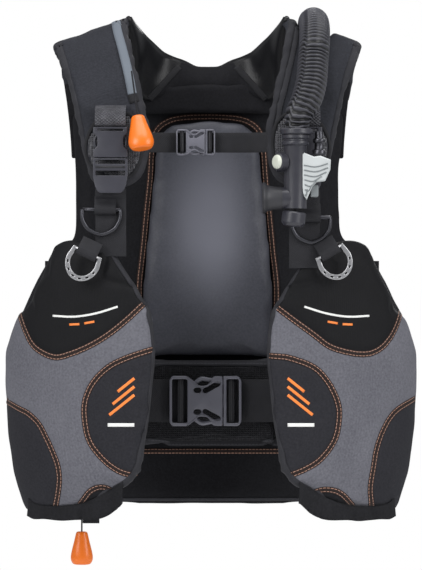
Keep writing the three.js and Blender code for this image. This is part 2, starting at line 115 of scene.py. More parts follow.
def new_material(name):
    material = bpy.data.materials.new(name)
    material.use_nodes = True
    material.node_tree.nodes.clear()
    return material, material.node_tree


def finish_material(tree, settings, links):
    shader = node(tree, "ShaderNodeBsdfPrincipled", settings, links)
    out = node(tree, "ShaderNodeOutputMaterial")
    tree.links.new(shader.outputs[0], out.inputs[0])


def woven(name, colour, shade, thread_mm, roughness, sheen, depth, sheen_tint="ffffff", specular=0.3,
          painted_highlight=None):
    """Plain-woven nylon: crossing threads, a little colour drift and a fibrous sheen.

    The last argument is a painted highlight: a paler colour, and the middle (x, z) and reach (across,
    up) in mm where it is painted.
    """
    material, tree = new_material(name)
    place = node(tree, "ShaderNodeTexCoord").outputs["Object"]
    # A wave texture of scale 1 repeats every pi / 10 of a metre.
    scale = 1 / (thread_mm * MM) * 2 * math.pi / 20
    threads = []
    for direction in ("X", "Y", "Z"):
        wave = node(tree, "ShaderNodeTexWave",
                    {"bands_direction": direction, "wave_profile": "SIN", "Scale": scale,
                     "Distortion": 0.4, "Detail": 1.0, "Detail Scale": 2.0}, {"Vector": place})
        threads.append(wave.outputs["Fac"])
    pair = node(tree, "ShaderNodeMath", {"operation": "MULTIPLY"}, {0: threads[0], 1: threads[2]})
    weave = node(tree, "ShaderNodeMath", {"operation": "ADD"}, {0: pair.outputs[0], 1: threads[1]})
    drift = node(tree, "ShaderNodeTexNoise", {"Scale": 14.0, "Detail": 4.0, "Roughness": 0.6},
                 {"Vector": place})
    fleck = node(tree, "ShaderNodeTexNoise", {"Scale": 420.0, "Detail": 2.0}, {"Vector": place})
    both = node(tree, "ShaderNodeMath", {"operation": "MULTIPLY_ADD", 1: 0.55},
                {0: drift.outputs["Fac"], 2: fleck.outputs["Fac"]})
    spread = node(tree, "ShaderNodeMapRange", {"From Min": 0.45, "From Max": 1.1},
                  {"Value": both.outputs[0]})
    tone = node(tree, "ShaderNodeMix", {"data_type": "RGBA", 6: linear(shade), 7: linear(colour)},
                {0: spread.outputs[0]})
    # painted highlight: the colour fades to the paler one round a given middle, standing in for light on
    # the cloth
    if painted_highlight:
        pale, x, z, across, up = painted_highlight
        centred = node(tree, "ShaderNodeMapping", {
            "Location": (-x / across, 0, -z / up), "Scale": (1 / (across * MM), 0, 1 / (up * MM))},
            {"Vector": place})
        far = node(tree, "ShaderNodeVectorMath", {"operation": "LENGTH"}, {0: centred.outputs[0]})
        painted_highlight_share = node(tree, "ShaderNodeMapRange", {
            "interpolation_type": "SMOOTHERSTEP", "From Min": 1.0, "From Max": 0.0},
            {"Value": far.outputs["Value"]})
        tone = node(tree, "ShaderNodeMix", {"data_type": "RGBA", 7: linear(pale)},
                    {0: painted_highlight_share.outputs[0], 6: tone.outputs[2]})
    bump = node(tree, "ShaderNodeBump", {"Strength": depth, "Distance": thread_mm * MM * 0.5},
                {"Height": weave.outputs[0]})
    finish_material(tree, {"Roughness": roughness, "Sheen Weight": sheen, "Sheen Roughness": 0.5,
                           "Sheen Tint": linear(sheen_tint), "Specular IOR Level": specular},
                    {"Base Color": tone.outputs[2], "Normal": bump.outputs[0]})
    return material


PLASTIC_IOR = 1.5


def moulded(name, colour, shade, grain_mm, roughness, depth, coat=0.0):
    """Injection-moulded plastic: fine spark texture with slightly rubbed, paler wear."""
    material, tree = new_material(name)
    place = node(tree, "ShaderNodeTexCoord").outputs["Object"]
    grain = node(tree, "ShaderNodeTexNoise", {"Scale": 1 / (grain_mm * MM), "Detail": 2.0},
                 {"Vector": place})
    cloud = node(tree, "ShaderNodeTexNoise", {"Scale": 60.0, "Detail": 3.0}, {"Vector": place})
    tone = node(tree, "ShaderNodeMix", {"data_type": "RGBA", 6: linear(shade), 7: linear(colour)},
                {0: cloud.outputs["Fac"]})
    rough = node(tree, "ShaderNodeMapRange", {"To Min": roughness - 0.08, "To Max": roughness + 0.08},
                 {"Value": cloud.outputs["Fac"]})
    bump = node(tree, "ShaderNodeBump", {"Strength": depth, "Distance": 0.0003},
                {"Height": grain.outputs["Fac"]})
    finish_material(tree, {"IOR": PLASTIC_IOR, "Coat Weight": coat, "Coat Roughness": 0.2},
                    {"Base Color": tone.outputs[2], "Roughness": rough.outputs[0],
                     "Normal": bump.outputs[0]})
    return material


def ribbed_rubber(name, crest, painted_groove_shade):
    """Moulded rubber with painted shade in its grooves: where the groove attribute is high the colour
    goes near black, while the crests keep the paler grey.
    """
    material, tree = new_material(name)
    place = node(tree, "ShaderNodeTexCoord").outputs["Object"]
    groove = node(tree, "ShaderNodeAttribute", {"attribute_name": "groove"})
    grain = node(tree, "ShaderNodeTexNoise", {"Scale": 900.0, "Detail": 2.0}, {"Vector": place})
    cloud = node(tree, "ShaderNodeTexNoise", {"Scale": 50.0, "Detail": 2.0}, {"Vector": place})
    share = node(tree, "ShaderNodeMapRange", {"From Min": 0.12, "From Max": 0.75},
                 {"Value": groove.outputs["Fac"]})
    tone = node(tree, "ShaderNodeMix", {"data_type": "RGBA", 6: linear(crest), 7: linear(painted_groove_shade)},
                {0: share.outputs[0]})
    rough = node(tree, "ShaderNodeMapRange", {"To Min": 0.36, "To Max": 0.52},
                 {"Value": cloud.outputs["Fac"]})
    bump = node(tree, "ShaderNodeBump", {"Strength": 0.1, "Distance": 0.0003},
                {"Height": grain.outputs["Fac"]})
    finish_material(tree, {}, {"Base Color": tone.outputs[2], "Roughness": rough.outputs[0],
                               "Normal": bump.outputs[0]})
    return material


def metal(name, colour, shade, roughness):
    """Satin metal: fine scratches, twelve times as long as they are wide, over a soft reflection."""
    material, tree = new_material(name)
    place = node(tree, "ShaderNodeTexCoord").outputs["Object"]
    turned = node(tree, "ShaderNodeMapping", {"Scale": (1, 1, 12)}, {"Vector": place})
    grain = node(tree, "ShaderNodeTexNoise", {"Scale": 260.0, "Detail": 3.0},
                 {"Vector": turned.outputs[0]})
    tone = node(tree, "ShaderNodeMix", {"data_type": "RGBA", 6: linear(shade), 7: linear(colour)},
                {0: grain.outputs["Fac"]})
    rough = node(tree, "ShaderNodeMapRange", {"To Min": roughness - 0.06, "To Max": roughness + 0.1},
                 {"Value": grain.outputs["Fac"]})
    finish_material(tree, {"Metallic": 1.0},
                    {"Base Color": tone.outputs[2], "Roughness": rough.outputs[0]})
    return material


HALF_THREAD, STITCH_SHARE = 0.42, 0.72  # mm from a thread's middle; share of a stitch's pitch on top


def strip_weave(name, colour, shade, rib_mm, roughness, stitches=(), thread=None, depth=0.35):
    """Woven tape read along its length: ribs across, and rows of lockstitch (place, pitch) in mm."""
    material, tree = new_material(name)
    uv = node(tree, "ShaderNodeUVMap", {"uv_map": "along"})
    split = node(tree, "ShaderNodeSeparateXYZ", {}, {0: uv.outputs[0]})
    along, across = split.outputs[0], split.outputs[1]
    rib = node(tree, "ShaderNodeMath", {"operation": "MULTIPLY", 1: 2 * math.pi / rib_mm}, {0: along})
    ribs = node(tree, "ShaderNodeMath", {"operation": "SINE"}, {0: rib.outputs[0]})
    warp = node(tree, "ShaderNodeMath", {"operation": "MULTIPLY", 1: 2 * math.pi / (rib_mm * 1.3)},
                {0: across})
    warps = node(tree, "ShaderNodeMath", {"operation": "SINE"}, {0: warp.outputs[0]})
    weave = node(tree, "ShaderNodeMath", {"operation": "MULTIPLY"},
                 {0: ribs.outputs[0], 1: warps.outputs[0]})
    place = node(tree, "ShaderNodeTexCoord").outputs["Object"]
    drift = node(tree, "ShaderNodeTexNoise", {"Scale": 90.0, "Detail": 3.0}, {"Vector": place})
    tone = node(tree, "ShaderNodeMix", {"data_type": "RGBA", 6: linear(shade), 7: linear(colour)},
                {0: drift.outputs["Fac"]})
    colour_out, height = tone.outputs[2], weave.outputs[0]
    for row, pitch in stitches:
        off = node(tree, "ShaderNodeMath", {"operation": "SUBTRACT", 1: row}, {0: across})
        near = node(tree, "ShaderNodeMath", {"operation": "ABSOLUTE"}, {0: off.outputs[0]})
        line = node(tree, "ShaderNodeMath", {"operation": "LESS_THAN", 1: HALF_THREAD},
                    {0: near.outputs[0]})
        turn = node(tree, "ShaderNodeMath", {"operation": "MODULO", 1: pitch}, {0: along})
        dash = node(tree, "ShaderNodeMath", {"operation": "LESS_THAN", 1: pitch * STITCH_SHARE},
                    {0: turn.outputs[0]})
        mask = node(tree, "ShaderNodeMath", {"operation": "MULTIPLY"},
                    {0: line.outputs[0], 1: dash.outputs[0]})
        dyed = node(tree, "ShaderNodeMix", {"data_type": "RGBA", 7: linear(thread)},
                    {0: mask.outputs[0], 6: colour_out})
        raised = node(tree, "ShaderNodeMath", {"operation": "ADD"}, {0: height, 1: mask.outputs[0]})
        colour_out, height = dyed.outputs[2], raised.outputs[0]
    bump = node(tree, "ShaderNodeBump", {"Strength": depth, "Distance": 0.0005}, {"Height": height})
    finish_material(tree, {"Roughness": roughness, "Sheen Weight": 0.02, "Specular IOR Level": 0.22},
                    {"Base Color": colour_out, "Normal": bump.outputs[0]})
    return material


# ---------------------------------------------------------------- mesh tools
def sight(x, z):
    """Direction from the camera's stand through a point of the front drawing."""
    return (Vector((x * MM, DRAWN_AT, z * MM)) - EYE).normalized()


def show(name, mesh, material, body, smooth=True):
    """Puts a mesh in the scene with its material or materials, on a body of the CAD."""
    obj = bpy.data.objects.new(name, mesh)
    bpy.context.scene.collection.objects.link(obj)
    for one in material if isinstance(material, (list, tuple)) else [material]:
        if one:
            mesh.materials.append(one)
    if smooth:
        mesh.polygons.foreach_set("use_smooth", [True] * len(mesh.polygons))
    if body:
        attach(obj, body)
    return obj


def opened(mesh):
    """A bmesh that holds a copy of a mesh."""
    bm = bmesh.new()
    bm.from_mesh(mesh)
    return bm


def put_back(bm, mesh):
    """Writes a bmesh into a mesh and frees it."""
    bm.to_mesh(mesh)
    bm.free()


def to_mesh(bm, name):
    """A new mesh with a bmesh in it."""
    mesh = bpy.data.meshes.new(name)
    put_back(bm, mesh)
    return mesh


def applied(obj):
    """The object's mesh with its modifiers in it."""
    graph = bpy.context.evaluated_depsgraph_get()
    return bpy.data.meshes.new_from_object(obj.evaluated_get(graph))


def bake(obj):
    """Puts the modifiers into the object's own mesh."""
    made = applied(obj)
    obj.modifiers.clear()
    old = obj.data
    obj.data = made
    bpy.data.meshes.remove(old)


def cad_copy(node_name):
    """A merged copy of a CAD node's mesh as a bmesh."""
    bm = opened(frame["nodes"][node_name].data)
    bmesh.ops.remove_doubles(bm, verts=bm.verts, dist=1e-5)
    return bm


def smoothed(bm, factor, rounds):
    """Eases every point towards its neighbours, some rounds over."""
    for _ in range(rounds):
        bmesh.ops.smooth_vert(bm, verts=bm.verts, factor=factor, use_axis_x=True, use_axis_y=True,
                              use_axis_z=True)


PUFF_STEPS = 20  # frames of the cloth simulation, by which a cushion has settled
CLOTH = {"quality": 4, "mass": 0.25, "tension_stiffness": 12, "compression_stiffness": 12,
         "shear_stiffness": 4, "bending_stiffness": 0.3, "use_pressure": True,
         "shrink_min": -0.03}  # cut 3% larger than its solid


def blown_up(obj, pressure, cap):
    """Blows a closed shape up as cloth, without gravity; no point moves more than cap mm."""
    rest = [v.co.copy() for v in obj.data.vertices]
    cloth = obj.modifiers.new("cloth", "CLOTH")
    for key, value in CLOTH.items():
        setattr(cloth.settings, key, value)
    cloth.settings.uniform_pressure_force = pressure
    cloth.settings.effector_weights.gravity = 0
    cloth.collision_settings.use_collision = False
    cloth.point_cache.frame_start = 1
    cloth.point_cache.frame_end = PUFF_STEPS
    for step in range(1, PUFF_STEPS + 1):
        bpy.context.scene.frame_set(step)
    bake(obj)
    bpy.context.scene.frame_set(1)
    for vert, start in zip(obj.data.vertices, rest):
        move = vert.co - start
        if move.length > cap * MM:
            vert.co = start + move.normalized() * cap * MM


UNEVEN_MM, UNEVEN_SCALE = 0.6, 45  # height and frequency of the soft unevenness of stuffed cloth


def swollen(name, node_name, materials, voxel, tuck, pressure, cap, rounds=6):
    """A filled fabric piece: its solid remeshed, drawn in a little, blown up as cloth and smoothed."""
    work = show(name, to_mesh(cad_copy(node_name), name), None, None)
    remesh = work.modifiers.new("remesh", "REMESH")
    remesh.mode = "VOXEL"
    remesh.voxel_size = voxel * MM
    bake(work)
    bm = opened(work.data)
    smoothed(bm, 0.5, rounds)
    bm.normal_update()
    for vert in bm.verts:
        vert.co -= vert.normal * tuck * MM
        vert.co += vert.normal * UNEVEN_MM * MM * noise.noise(vert.co * UNEVEN_SCALE)
    put_back(bm, work.data)
    blown_up(work, pressure, cap)
    bm = opened(work.data)
    smoothed(bm, 0.4, 2)
    put_back(bm, work.data)
    grow = work.modifiers.new("finer", "SUBSURF")
    grow.levels = grow.render_levels = 1
    bake(work)
    work.data.polygons.foreach_set("use_smooth", [True] * len(work.data.polygons))
    for one in materials:
        work.data.materials.append(one)
    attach(work, "vest")
    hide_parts(node_name)
    return work


TO_THE_FRONT = 3.118  # metres from the camera to the front of the vest


class Surface:
    """Finds points on finished meshes, straight behind a drawn point or nearest to a place."""

    def __init__(self, *meshes):
        bm = bmesh.new()
        for mesh in meshes:
            bm.from_mesh(mesh)
        bm.normal_update()
        self.tree = BVHTree.FromBMesh(bm)
        bm.free()

    def drawn(self, x, z):
        hit, normal, _, _ = self.tree.ray_cast(EYE, sight(x, z))
        if hit is None:
            hit, normal, _, _ = self.tree.find_nearest(EYE + sight(x, z) * TO_THE_FRONT)
        return hit, normal

    def nearest(self, point):
        hit, normal, _, _ = self.tree.find_nearest(point)
        return hit, normal


def curve_through(points, spacing, closed=False):
    """Evenly spaced points on a smooth curve through the given ones; its own two ends are kept."""
    pts = [Vector(p) for p in points]
    count = len(pts)
    dense = []
    spans = count if closed else count - 1
    for i in range(spans):
        a, b = pts[i], pts[(i + 1) % count]
        before = pts[(i - 1) % count] if closed or i > 0 else a * 2 - b
        after = pts[(i + 2) % count] if closed or i + 2 < count else b * 2 - a
        steps = max(2, int((b - a).length / spacing * 2))
        for k in range(steps):
            t = k / steps
            dense.append(0.5 * ((2 * a) + (b - before) * t + (2 * before - 5 * a + 4 * b - after) * t * t
                                + (3 * a - before - 3 * b + after) * t ** 3))
    dense.append(pts[0].copy() if closed else pts[-1].copy())
    out, walked = [dense[0]], 0.0
    for p, q in zip(dense, dense[1:]):
        step = (q - p).length
        while walked + step >= spacing and step > 1e-9:
            p = p.lerp(q, (spacing - walked) / step)
            out.append(p.copy())
            step = (q - p).length
            walked = 0.0
        walked += step
    if (out[-1] - dense[-1]).length > spacing * 0.3:
        out.append(dense[-1])
    elif not closed:
        out[-1] = dense[-1]
    return out


def strip(name, rows, material, thick, body="vest", bevel=0.0, closed=False):
    """A flat tape from rows of points across it; its map "along" holds mm along and mm across."""
    bm = bmesh.new()
    layer = bm.loops.layers.uv.new("along")
    grid = [[bm.verts.new(p) for p in row] for row in rows]
    if closed:
        grid.append(grid[0])
    far = [0.0]
    middle = len(rows[0]) // 2
    spots = rows + [rows[0]] if closed else rows
    for a, b in zip(spots, spots[1:]):
        far.append(far[-1] + (b[middle] - a[middle]).length / MM)
    wide = sum((q - p).length for p, q in zip(rows[0], rows[0][1:])) / MM
    count = len(rows[0]) - 1
    for i in range(len(grid) - 1):
        for k in range(count):
            quad = (grid[i][k], grid[i][k + 1], grid[i + 1][k + 1], grid[i + 1][k])
            face = bm.faces.new(quad)
            marks = ((far[i], k), (far[i], k + 1), (far[i + 1], k + 1), (far[i + 1], k))
            for loop, (u, v) in zip(face.loops, marks):
                loop[layer].uv = (u, (v / count - 0.5) * wide)
    obj = show(name, to_mesh(bm, name), material, body)
    wall = obj.modifiers.new("wall", "SOLIDIFY")
    wall.thickness = thick * MM
    wall.offset = -1
    if bevel:
        edge = obj.modifiers.new("edge", "BEVEL")
        edge.width = bevel * MM
        edge.segments = 2
        edge.limit_method = "ANGLE"
        edge.angle_limit = math.radians(50)
    return obj


TAPE_STEP, TAPE_CELLS = 2.5, 4  # mm from row to row of a tape, and its cells across


def laid_tape(name, line, width, surface, material, lift, thick, crown=0.35, closed=False):
    """A sewn tape that follows a drawn line over a surface, a little proud of it; sizes in mm."""
    points = [Vector((x, z, 0)) for x, z in line]
    path = [surface.drawn(p.x, p.y)[0] for p in curve_through(points, TAPE_STEP, closed)]
    if closed:
        path.pop()
    count = len(path)
    rows = []
    for i, p in enumerate(path):
        a = path[(i - 1) % count if closed else max(i - 1, 0)]
        b = path[(i + 1) % count if closed else min(i + 1, count - 1)]
        _, normal = surface.nearest(p)
        side = (b - a).cross(normal).normalized()
        row = []
        for k in range(TAPE_CELLS + 1):
            t = k / TAPE_CELLS * 2 - 1
            spot, _ = surface.nearest(p + side * t * width / 2 * MM)
            row.append(p + side * t * width / 2 * MM)
            depth = (spot - row[-1]).dot(normal)
            row[-1] += normal * (depth + (lift + crown * (1 - t * t)) * MM)
        rows.append(row)
    return strip(name, rows, material, thick, closed=closed)


def transported(path):
    """A turn for each point of a path, carried along without twist; local Z runs along the path."""
    turns, last, turn = [], None, None
    for i in range(len(path)):
        ahead = (path[min(i + 1, len(path) - 1)] - path[max(i - 1, 0)]).normalized()
        if last is None:
            turn = ahead.to_track_quat("Z", "X")
        else:
            turn = last.rotation_difference(ahead) @ turn
        last = ahead
        turns.append(turn.copy())
    return turns


def swept(name, path, radius, sides, material, body, caps=True):
    """A round section carried along a path; radius is one number in mm or one for each point."""
    count = len(path)
    radii = radius if isinstance(radius, (list, tuple)) else [radius] * count
    turns = transported(path)
    places = [
        Matrix.Translation(p) @ turn.to_matrix().to_4x4() @ Matrix.Scale(r * MM, 4)
        for p, turn, r in zip(path, turns, radii)
    ]
    bm = bmesh.new()
    ring = bmesh.ops.create_circle(bm, segments=sides, radius=1, matrix=places[0])["verts"]
    edges = list(dict.fromkeys(e for v in ring for e in v.link_edges))
    if caps:
        bm.faces.new(ring)
    for before, after in zip(places, places[1:]):
        grown = bmesh.ops.extrude_edge_only(bm, edges=edges)["geom"]
        ring = [g for g in grown if isinstance(g, bmesh.types.BMVert)]
        edges = [g for g in grown if isinstance(g, bmesh.types.BMEdge)]
        bmesh.ops.transform(bm, matrix=after @ before.inverted(), verts=ring)
    if caps:
        bmesh.ops.holes_fill(bm, edges=edges, sides=sides)
    bmesh.ops.recalc_face_normals(bm, faces=bm.faces)
    return show(name, to_mesh(bm, name), material, body)


def turned(name, profile, centre, axis, material, body, steps, squash_to=(1, 1, 1)):
    """A lathe piece: (radius, height) points in mm spun about an axis through a centre in mm."""
    bm = bmesh.new()
    verts = [bm.verts.new((r * MM, 0, h * MM)) for r, h in profile]
    edges = [bm.edges.new(pair) for pair in zip(verts, verts[1:])]
    bmesh.ops.spin(bm, geom=verts + edges, cent=(0, 0, 0), axis=(0, 0, 1), angle=math.tau,
                   steps=steps, use_merge=True)
    bmesh.ops.remove_doubles(bm, verts=bm.verts, dist=1e-6)
    bmesh.ops.holes_fill(bm, edges=[e for e in bm.edges if e.is_boundary], sides=steps)
    bmesh.ops.scale(bm, vec=squash_to, verts=bm.verts)
    turn = Vector((0, 0, 1)).rotation_difference(Vector(axis)).to_matrix().to_4x4()
    bmesh.ops.transform(bm, matrix=Matrix.Translation(Vector(centre) * MM) @ turn, verts=bm.verts)
    bmesh.ops.recalc_face_normals(bm, faces=bm.faces)
    obj = show(name, to_mesh(bm, name), material, body)
    obj.data.set_sharp_from_angle(angle=math.radians(40))
    return obj


def plate(name, outlines, thick, material, body, place, edge, crown=None):
    """A flat piece with rounded edges: closed outlines in mm, the later ones holes, facing local +Z.

    crown gives how far each point of its faces is moved along local +Z, in mm.
    """
    curve = bpy.data.curves.new(name, "CURVE")
    curve.dimensions = "2D"
    curve.fill_mode = "BOTH"
    curve.extrude = (thick / 2 - edge) * MM
    curve.bevel_depth = edge * MM
    curve.bevel_resolution = 2
    curve.offset = -edge * MM
    for outline in outlines:
        line = curve.splines.new("POLY")
        line.points.add(len(outline) - 1)
        for point, (x, y) in zip(line.points, outline):
            point.co = (x * MM, y * MM, 0, 1)
        line.use_cyclic_u = True
    drawn = bpy.data.objects.new(name, curve)
    bpy.context.scene.collection.objects.link(drawn)
    mesh = applied(drawn)
    bpy.data.objects.remove(drawn)
    bpy.data.curves.remove(curve)
    bm = opened(mesh)
    bpy.data.meshes.remove(mesh)
    bmesh.ops.remove_doubles(bm, verts=bm.verts, dist=2e-5)
    if crown:
        for vert in bm.verts:
            vert.co.z += crown(vert.co.x / MM, vert.co.y / MM) * MM
    bmesh.ops.transform(bm, matrix=place, verts=bm.verts)
    bmesh.ops.recalc_face_normals(bm, faces=bm.faces)
    obj = show(name, to_mesh(bm, name), material, body)
    obj.data.set_sharp_from_angle(angle=math.radians(38))
    return obj


def round_corners(points, radius, steps=4):
    """A closed outline with every corner rounded; a radius can be given for each corner."""
    out, count = [], len(points)
    for i, here in enumerate(points):
        r = radius[i] if isinstance(radius, (list, tuple)) else radius
        p, a, b = Vector(here), Vector(points[i - 1]), Vector(points[(i + 1) % count])
        into, away = (a - p), (b - p)
        cut = min(r, into.length * 0.48, away.length * 0.48)
        start, end = p + into.normalized() * cut, p + away.normalized() * cut
        for k in range(steps + 1):
            t = k / steps
            out.append(tuple(start * (1 - t) ** 2 + p * 2 * t * (1 - t) + end * t * t))
    return out


def rectangle(x0, y0, x1, y1, radius):
    """A rounded rectangle's outline between two corners."""
    return round_corners([(x0, y0), (x1, y0), (x1, y1), (x0, y1)], radius)


def capsule(a, b, width, steps=7):
    """A slot's outline between two points."""
    a, b = Vector(a), Vector(b)
    along = (b - a).normalized()
    base = math.atan2(along.y, along.x)
    out = []
    for centre, start in ((b, base - math.pi / 2), (a, base + math.pi / 2)):
        for k in range(steps + 1):
            t = start + math.pi * k / steps
            out.append((centre.x + math.cos(t) * width / 2, centre.y + math.sin(t) * width / 2))
    return out


def facing_front(x, y, z, turn=0.0):
    """Places a flat drawing upright at a point in mm with its face towards -Y."""
    upright = Matrix.Rotation(math.pi / 2, 4, "X") @ Matrix.Rotation(turn, 4, "Z")
    return Matrix.Translation(Vector((x, y, z)) * MM) @ upright


def home(node_name):
    """The CAD body that a node rides on."""
    return frame["nodes"][node_name]["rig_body"]


def stands_for(obj, node_names):
    """Says which CAD nodes a piece is drawn instead of."""
    for one in node_names if isinstance(node_names, (list, tuple)) else [node_names]:
        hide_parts(one)
    return obj


EDGE_ANGLE = math.radians(34)  # an edge sharper than this is broken by the bevel


def dressed(node_name, material, bevel):
    """A hard piece in its own finish with its edges broken; it stands for the CAD node it copies."""
    bm = cad_copy(node_name)
    bmesh.ops.dissolve_limit(bm, angle_limit=math.radians(2), verts=bm.verts, edges=bm.edges)
    name = node_name + "_finished"
    obj = show(name, to_mesh(bm, name), material, home(node_name))
    obj.data.set_sharp_from_angle(angle=EDGE_ANGLE)
    edge = obj.modifiers.new("broken_edges", "BEVEL")
    edge.width = bevel * MM
    edge.segments = 2
    edge.limit_method = "ANGLE"
    edge.angle_limit = EDGE_ANGLE
    edge.harden_normals = True
    return stands_for(obj, node_name)


# ---------------------------------------------------------------- finishes
# Heavy grey ballistic nylon on the lobes: visible thread, a matt face with paler flecks.
SHELL = woven("grey_ballistic_nylon", "6e6e75", "55555c", 1.6, 0.9, 0.03, 0.4, specular=0.12)
# Black pack cloth: the quiet lining of the bladder, nearly without pattern.
PACK_CLOTH = woven("black_pack_cloth", "242427", "19191b", 1.0, 0.85, 0.01, 0.2, specular=0.08)
# Black coated nylon of the yokes: smoother, a slight shine on its folds.
YOKE_CLOTH = woven("black_coated_nylon", "161618", "101012", 0.9, 0.6, 0.0, 0.15, specular=0.14)
# Charcoal pack cloth of the half-round patches and pockets.
PATCH_CLOTH = woven("charcoal_pack_cloth", "313135", "26262a", 1.1, 0.88, 0.01, 0.25, specular=0.08)
# Polyurethane-coated lining round the neck: wet-looking streaks on its folds.
LINING = woven("black_polyurethane_coated_lining", "19191b", "111113", 1.0, 0.3, 0.0, 0.1, specular=0.2)
BLACK_CLOTH_EDGE = woven("black_folded_edge", "27272a", "1b1b1d", 1.0, 0.8, 0.01, 0.3, specular=0.1)
# Charcoal brushed nylon over the shoulder pads: soft, with a dusty sheen at grazing light.
PAD_CLOTH = woven("charcoal_brushed_nylon", "34353b", "26272b", 1.1, 0.85, 0.03, 0.3,
                  sheen_tint="9a9ca8", specular=0.12)
# Slate satin nylon of the back tongue: smoother yarn, with a painted highlight, a paler patch down its
# middle that stands in for light.
TONGUE_CLOTH = woven("slate_satin_nylon", "4a4b53", "3b3c43", 0.9, 0.5, 0.02, 0.12, specular=0.3,
                     painted_highlight=("777882", -3, 86, 76, 165))
# Open spacer mesh: grey cord net over a dark ground.
MESH_CLOTH = woven("grey_spacer_mesh", "6a6a6e", "232326", 2.6, 0.9, 0.0, 0.9, specular=0.1)
# Black ribbed mesh of the waist band.
BAND_MESH = woven("black_ribbed_mesh", "38383b", "19191b", 2.4, 0.9, 0.0, 0.9, specular=0.1)
# Ribbed grosgrain binding folded over the fabric's edges.
BINDING = strip_weave("charcoal_grosgrain_binding", "343438", "28282c", 1.8, 0.85)
BLACK_BINDING = strip_weave("black_grosgrain_binding", "29292c", "1e1e20", 1.8, 0.8)
# Dark brown seam tape with two rows of copper-coloured lockstitch.
SEAM_TAPE = strip_weave("brown_seam_tape", "2c211f", "211917", 1.6, 0.8,
                        stitches=((-2.3, 4.4), (2.3, 4.4)), thread="a5806f")
# Black tape with two tone-on-tone stitch rows, used where the harness is quilted.
QUIET_TAPE = strip_weave("black_stitched_tape", "36363a", "2a2a2e", 1.6, 0.8,
                         stitches=((-3.2, 4.4), (3.2, 4.4)), thread="47474c")
# Seat-belt weave nylon webbing: strong ribs across, a dull shine along the threads.
WEBBING_FLAT = woven("black_webbing_flat", "303034", "222225", 1.8, 0.55, 0.01, 0.6, specular=0.3)
WEBBING = strip_weave("black_nylon_webbing", "29292d", "1e1e21", 2.2, 0.6)
# Coarse friction webbing where the shoulder strap folds over its buckle.
COARSE_WEBBING = strip_weave("coarse_friction_webbing", "66666c", "141416", 3.4, 0.34, depth=1.6)
# Retro-reflective tape: fine glass beads in a silver-grey binder.
REFLECTIVE = moulded("reflective_bead_tape", "666d76", "5f666f", 0.6, 0.8, 0.1)
# Glass-filled acetal of the side-release buckles: satin grey.
BUCKLE = moulded("satin_grey_acetal", "6d6d77", "5d5d66", 0.5, 0.34, 0.1)
DARK_BUCKLE = moulded("dark_grey_acetal", "3a3a42", "303037", 0.5, 0.36, 0.1)
# Black glass-filled nylon of valves, plate and inflator: spark-eroded satin.
BLACK_PLASTIC = moulded("black_glass_filled_nylon", "35353c", "292930", 0.6, 0.36, 0.2)
HARD_PLATE = moulded("black_textured_polypropylene", "26262a", "1d1d20", 1.2, 0.5, 0.4)
# EPDM rubber of the corrugated hose: matt with a waxy sheen on each rib, and painted shade, near black,
# in its grooves.
HOSE_RUBBER = ribbed_rubber("black_epdm_rubber", "38383f", "060607")
# Soft rubber of the mouthpiece and tank pad.
SOFT_RUBBER = moulded("black_soft_rubber", "303035", "242427", 0.8, 0.5, 0.15)
# Bright orange elastomer grip of the dump pulls: satin, slightly translucent-looking.
ORANGE_GRIP = moulded("orange_thermoplastic_elastomer", "ec7413", "df690d", 0.8, 0.33, 0.05, coat=0.12)
# Pale grey moulded lever and button caps.
PALE_PLASTIC = moulded("pale_grey_abs", "c3c7c7", "b5b9ba", 0.5, 0.35, 0.06)
CREAM_PLASTIC = moulded("ivory_abs", "cdd0c4", "c0c4b6", 0.5, 0.3, 0.05)
GREY_PLASTIC = moulded("mid_grey_abs", "7d8284", "6b7072", 0.5, 0.4, 0.08)
# Tumbled stainless steel of the lobe rings.
STEEL = metal("tumbled_stainless_steel", "c9c9ca", "a5a5a8", 0.32)
# Blackened steel wire of the strap rings.
DARK_STEEL = metal("blackened_steel", "55555a", "3e3e42", 0.35)
# Braided black cord.
CORD = woven("black_braided_cord", "2c2c2f", "141416", 0.8, 0.7, 0.0, 0.6, specular=0.2)
# Printed ink for the plain marks: screen-printed, slightly raised, matt.
WHITE_PRINT = moulded("white_screen_print", "e9e9e6", "dcdcd9", 0.8, 0.6, 0.1)
ORANGE_PRINT = moulded("orange_screen_print", "f58a3a", "e6762a", 0.8, 0.55, 0.1)


# ---------------------------------------------------------------- dump pulls and their cords
SHOULDER_PULL = Vector((-0.13, 0.38, 0.9)).normalized()
PULLS = {
    # name: (knob centre top in mm, line of the cord, cord length mm, knob scale, body it rides on)
    "shoulder_dump": ((-86.8, -243, 200), SHOULDER_PULL, 60, (1, 0.64, 1), "shoulder_pull"),
    "lower_dump": ((-163, -44, -311), Vector((0, 0, 1)), 64, (0.93, 0.64, 0.95), "lower_pull"),
}
KNOB_SIDE = [(0, 0), (5.5, 0), (7.4, -1.2), (8.6, -5), (10.2, -12), (12.3, -20), (14.2, -28),
             (15, -33.5), (14.6, -38), (12.6, -42), (9.5, -43.6), (0, -44)]


def curve_2d(points, spacing):
    """Points of a smooth profile through the given (radius, height) pairs, ends kept."""
    path = curve_through([(x, y, 0) for x, y in points], spacing)
    return [(max(p.x, 0), p.y) for p in path]


def dump_pull(name):
    """A moulded grip on a braided cord, which runs up into the valve's sleeve."""
    top, line, length, scale, body = PULLS[name]
    top = Vector(top)
    steps, above = 14, 0.2  # the line stops this many mm above the knob's top
    route = [(top + line * (length * (1 - t / steps) + above)) * MM for t in range(steps + 1)]
    cord = swept(name + "_line", route, 1.0, 12, CORD, body)
    knob = turned(name + "_grip", curve_2d(KNOB_SIDE, 1.6), top, line, ORANGE_GRIP, body, 40, scale)
    stands_for(knob, name + "_knob")
    stands_for(cord, name + "_cord")


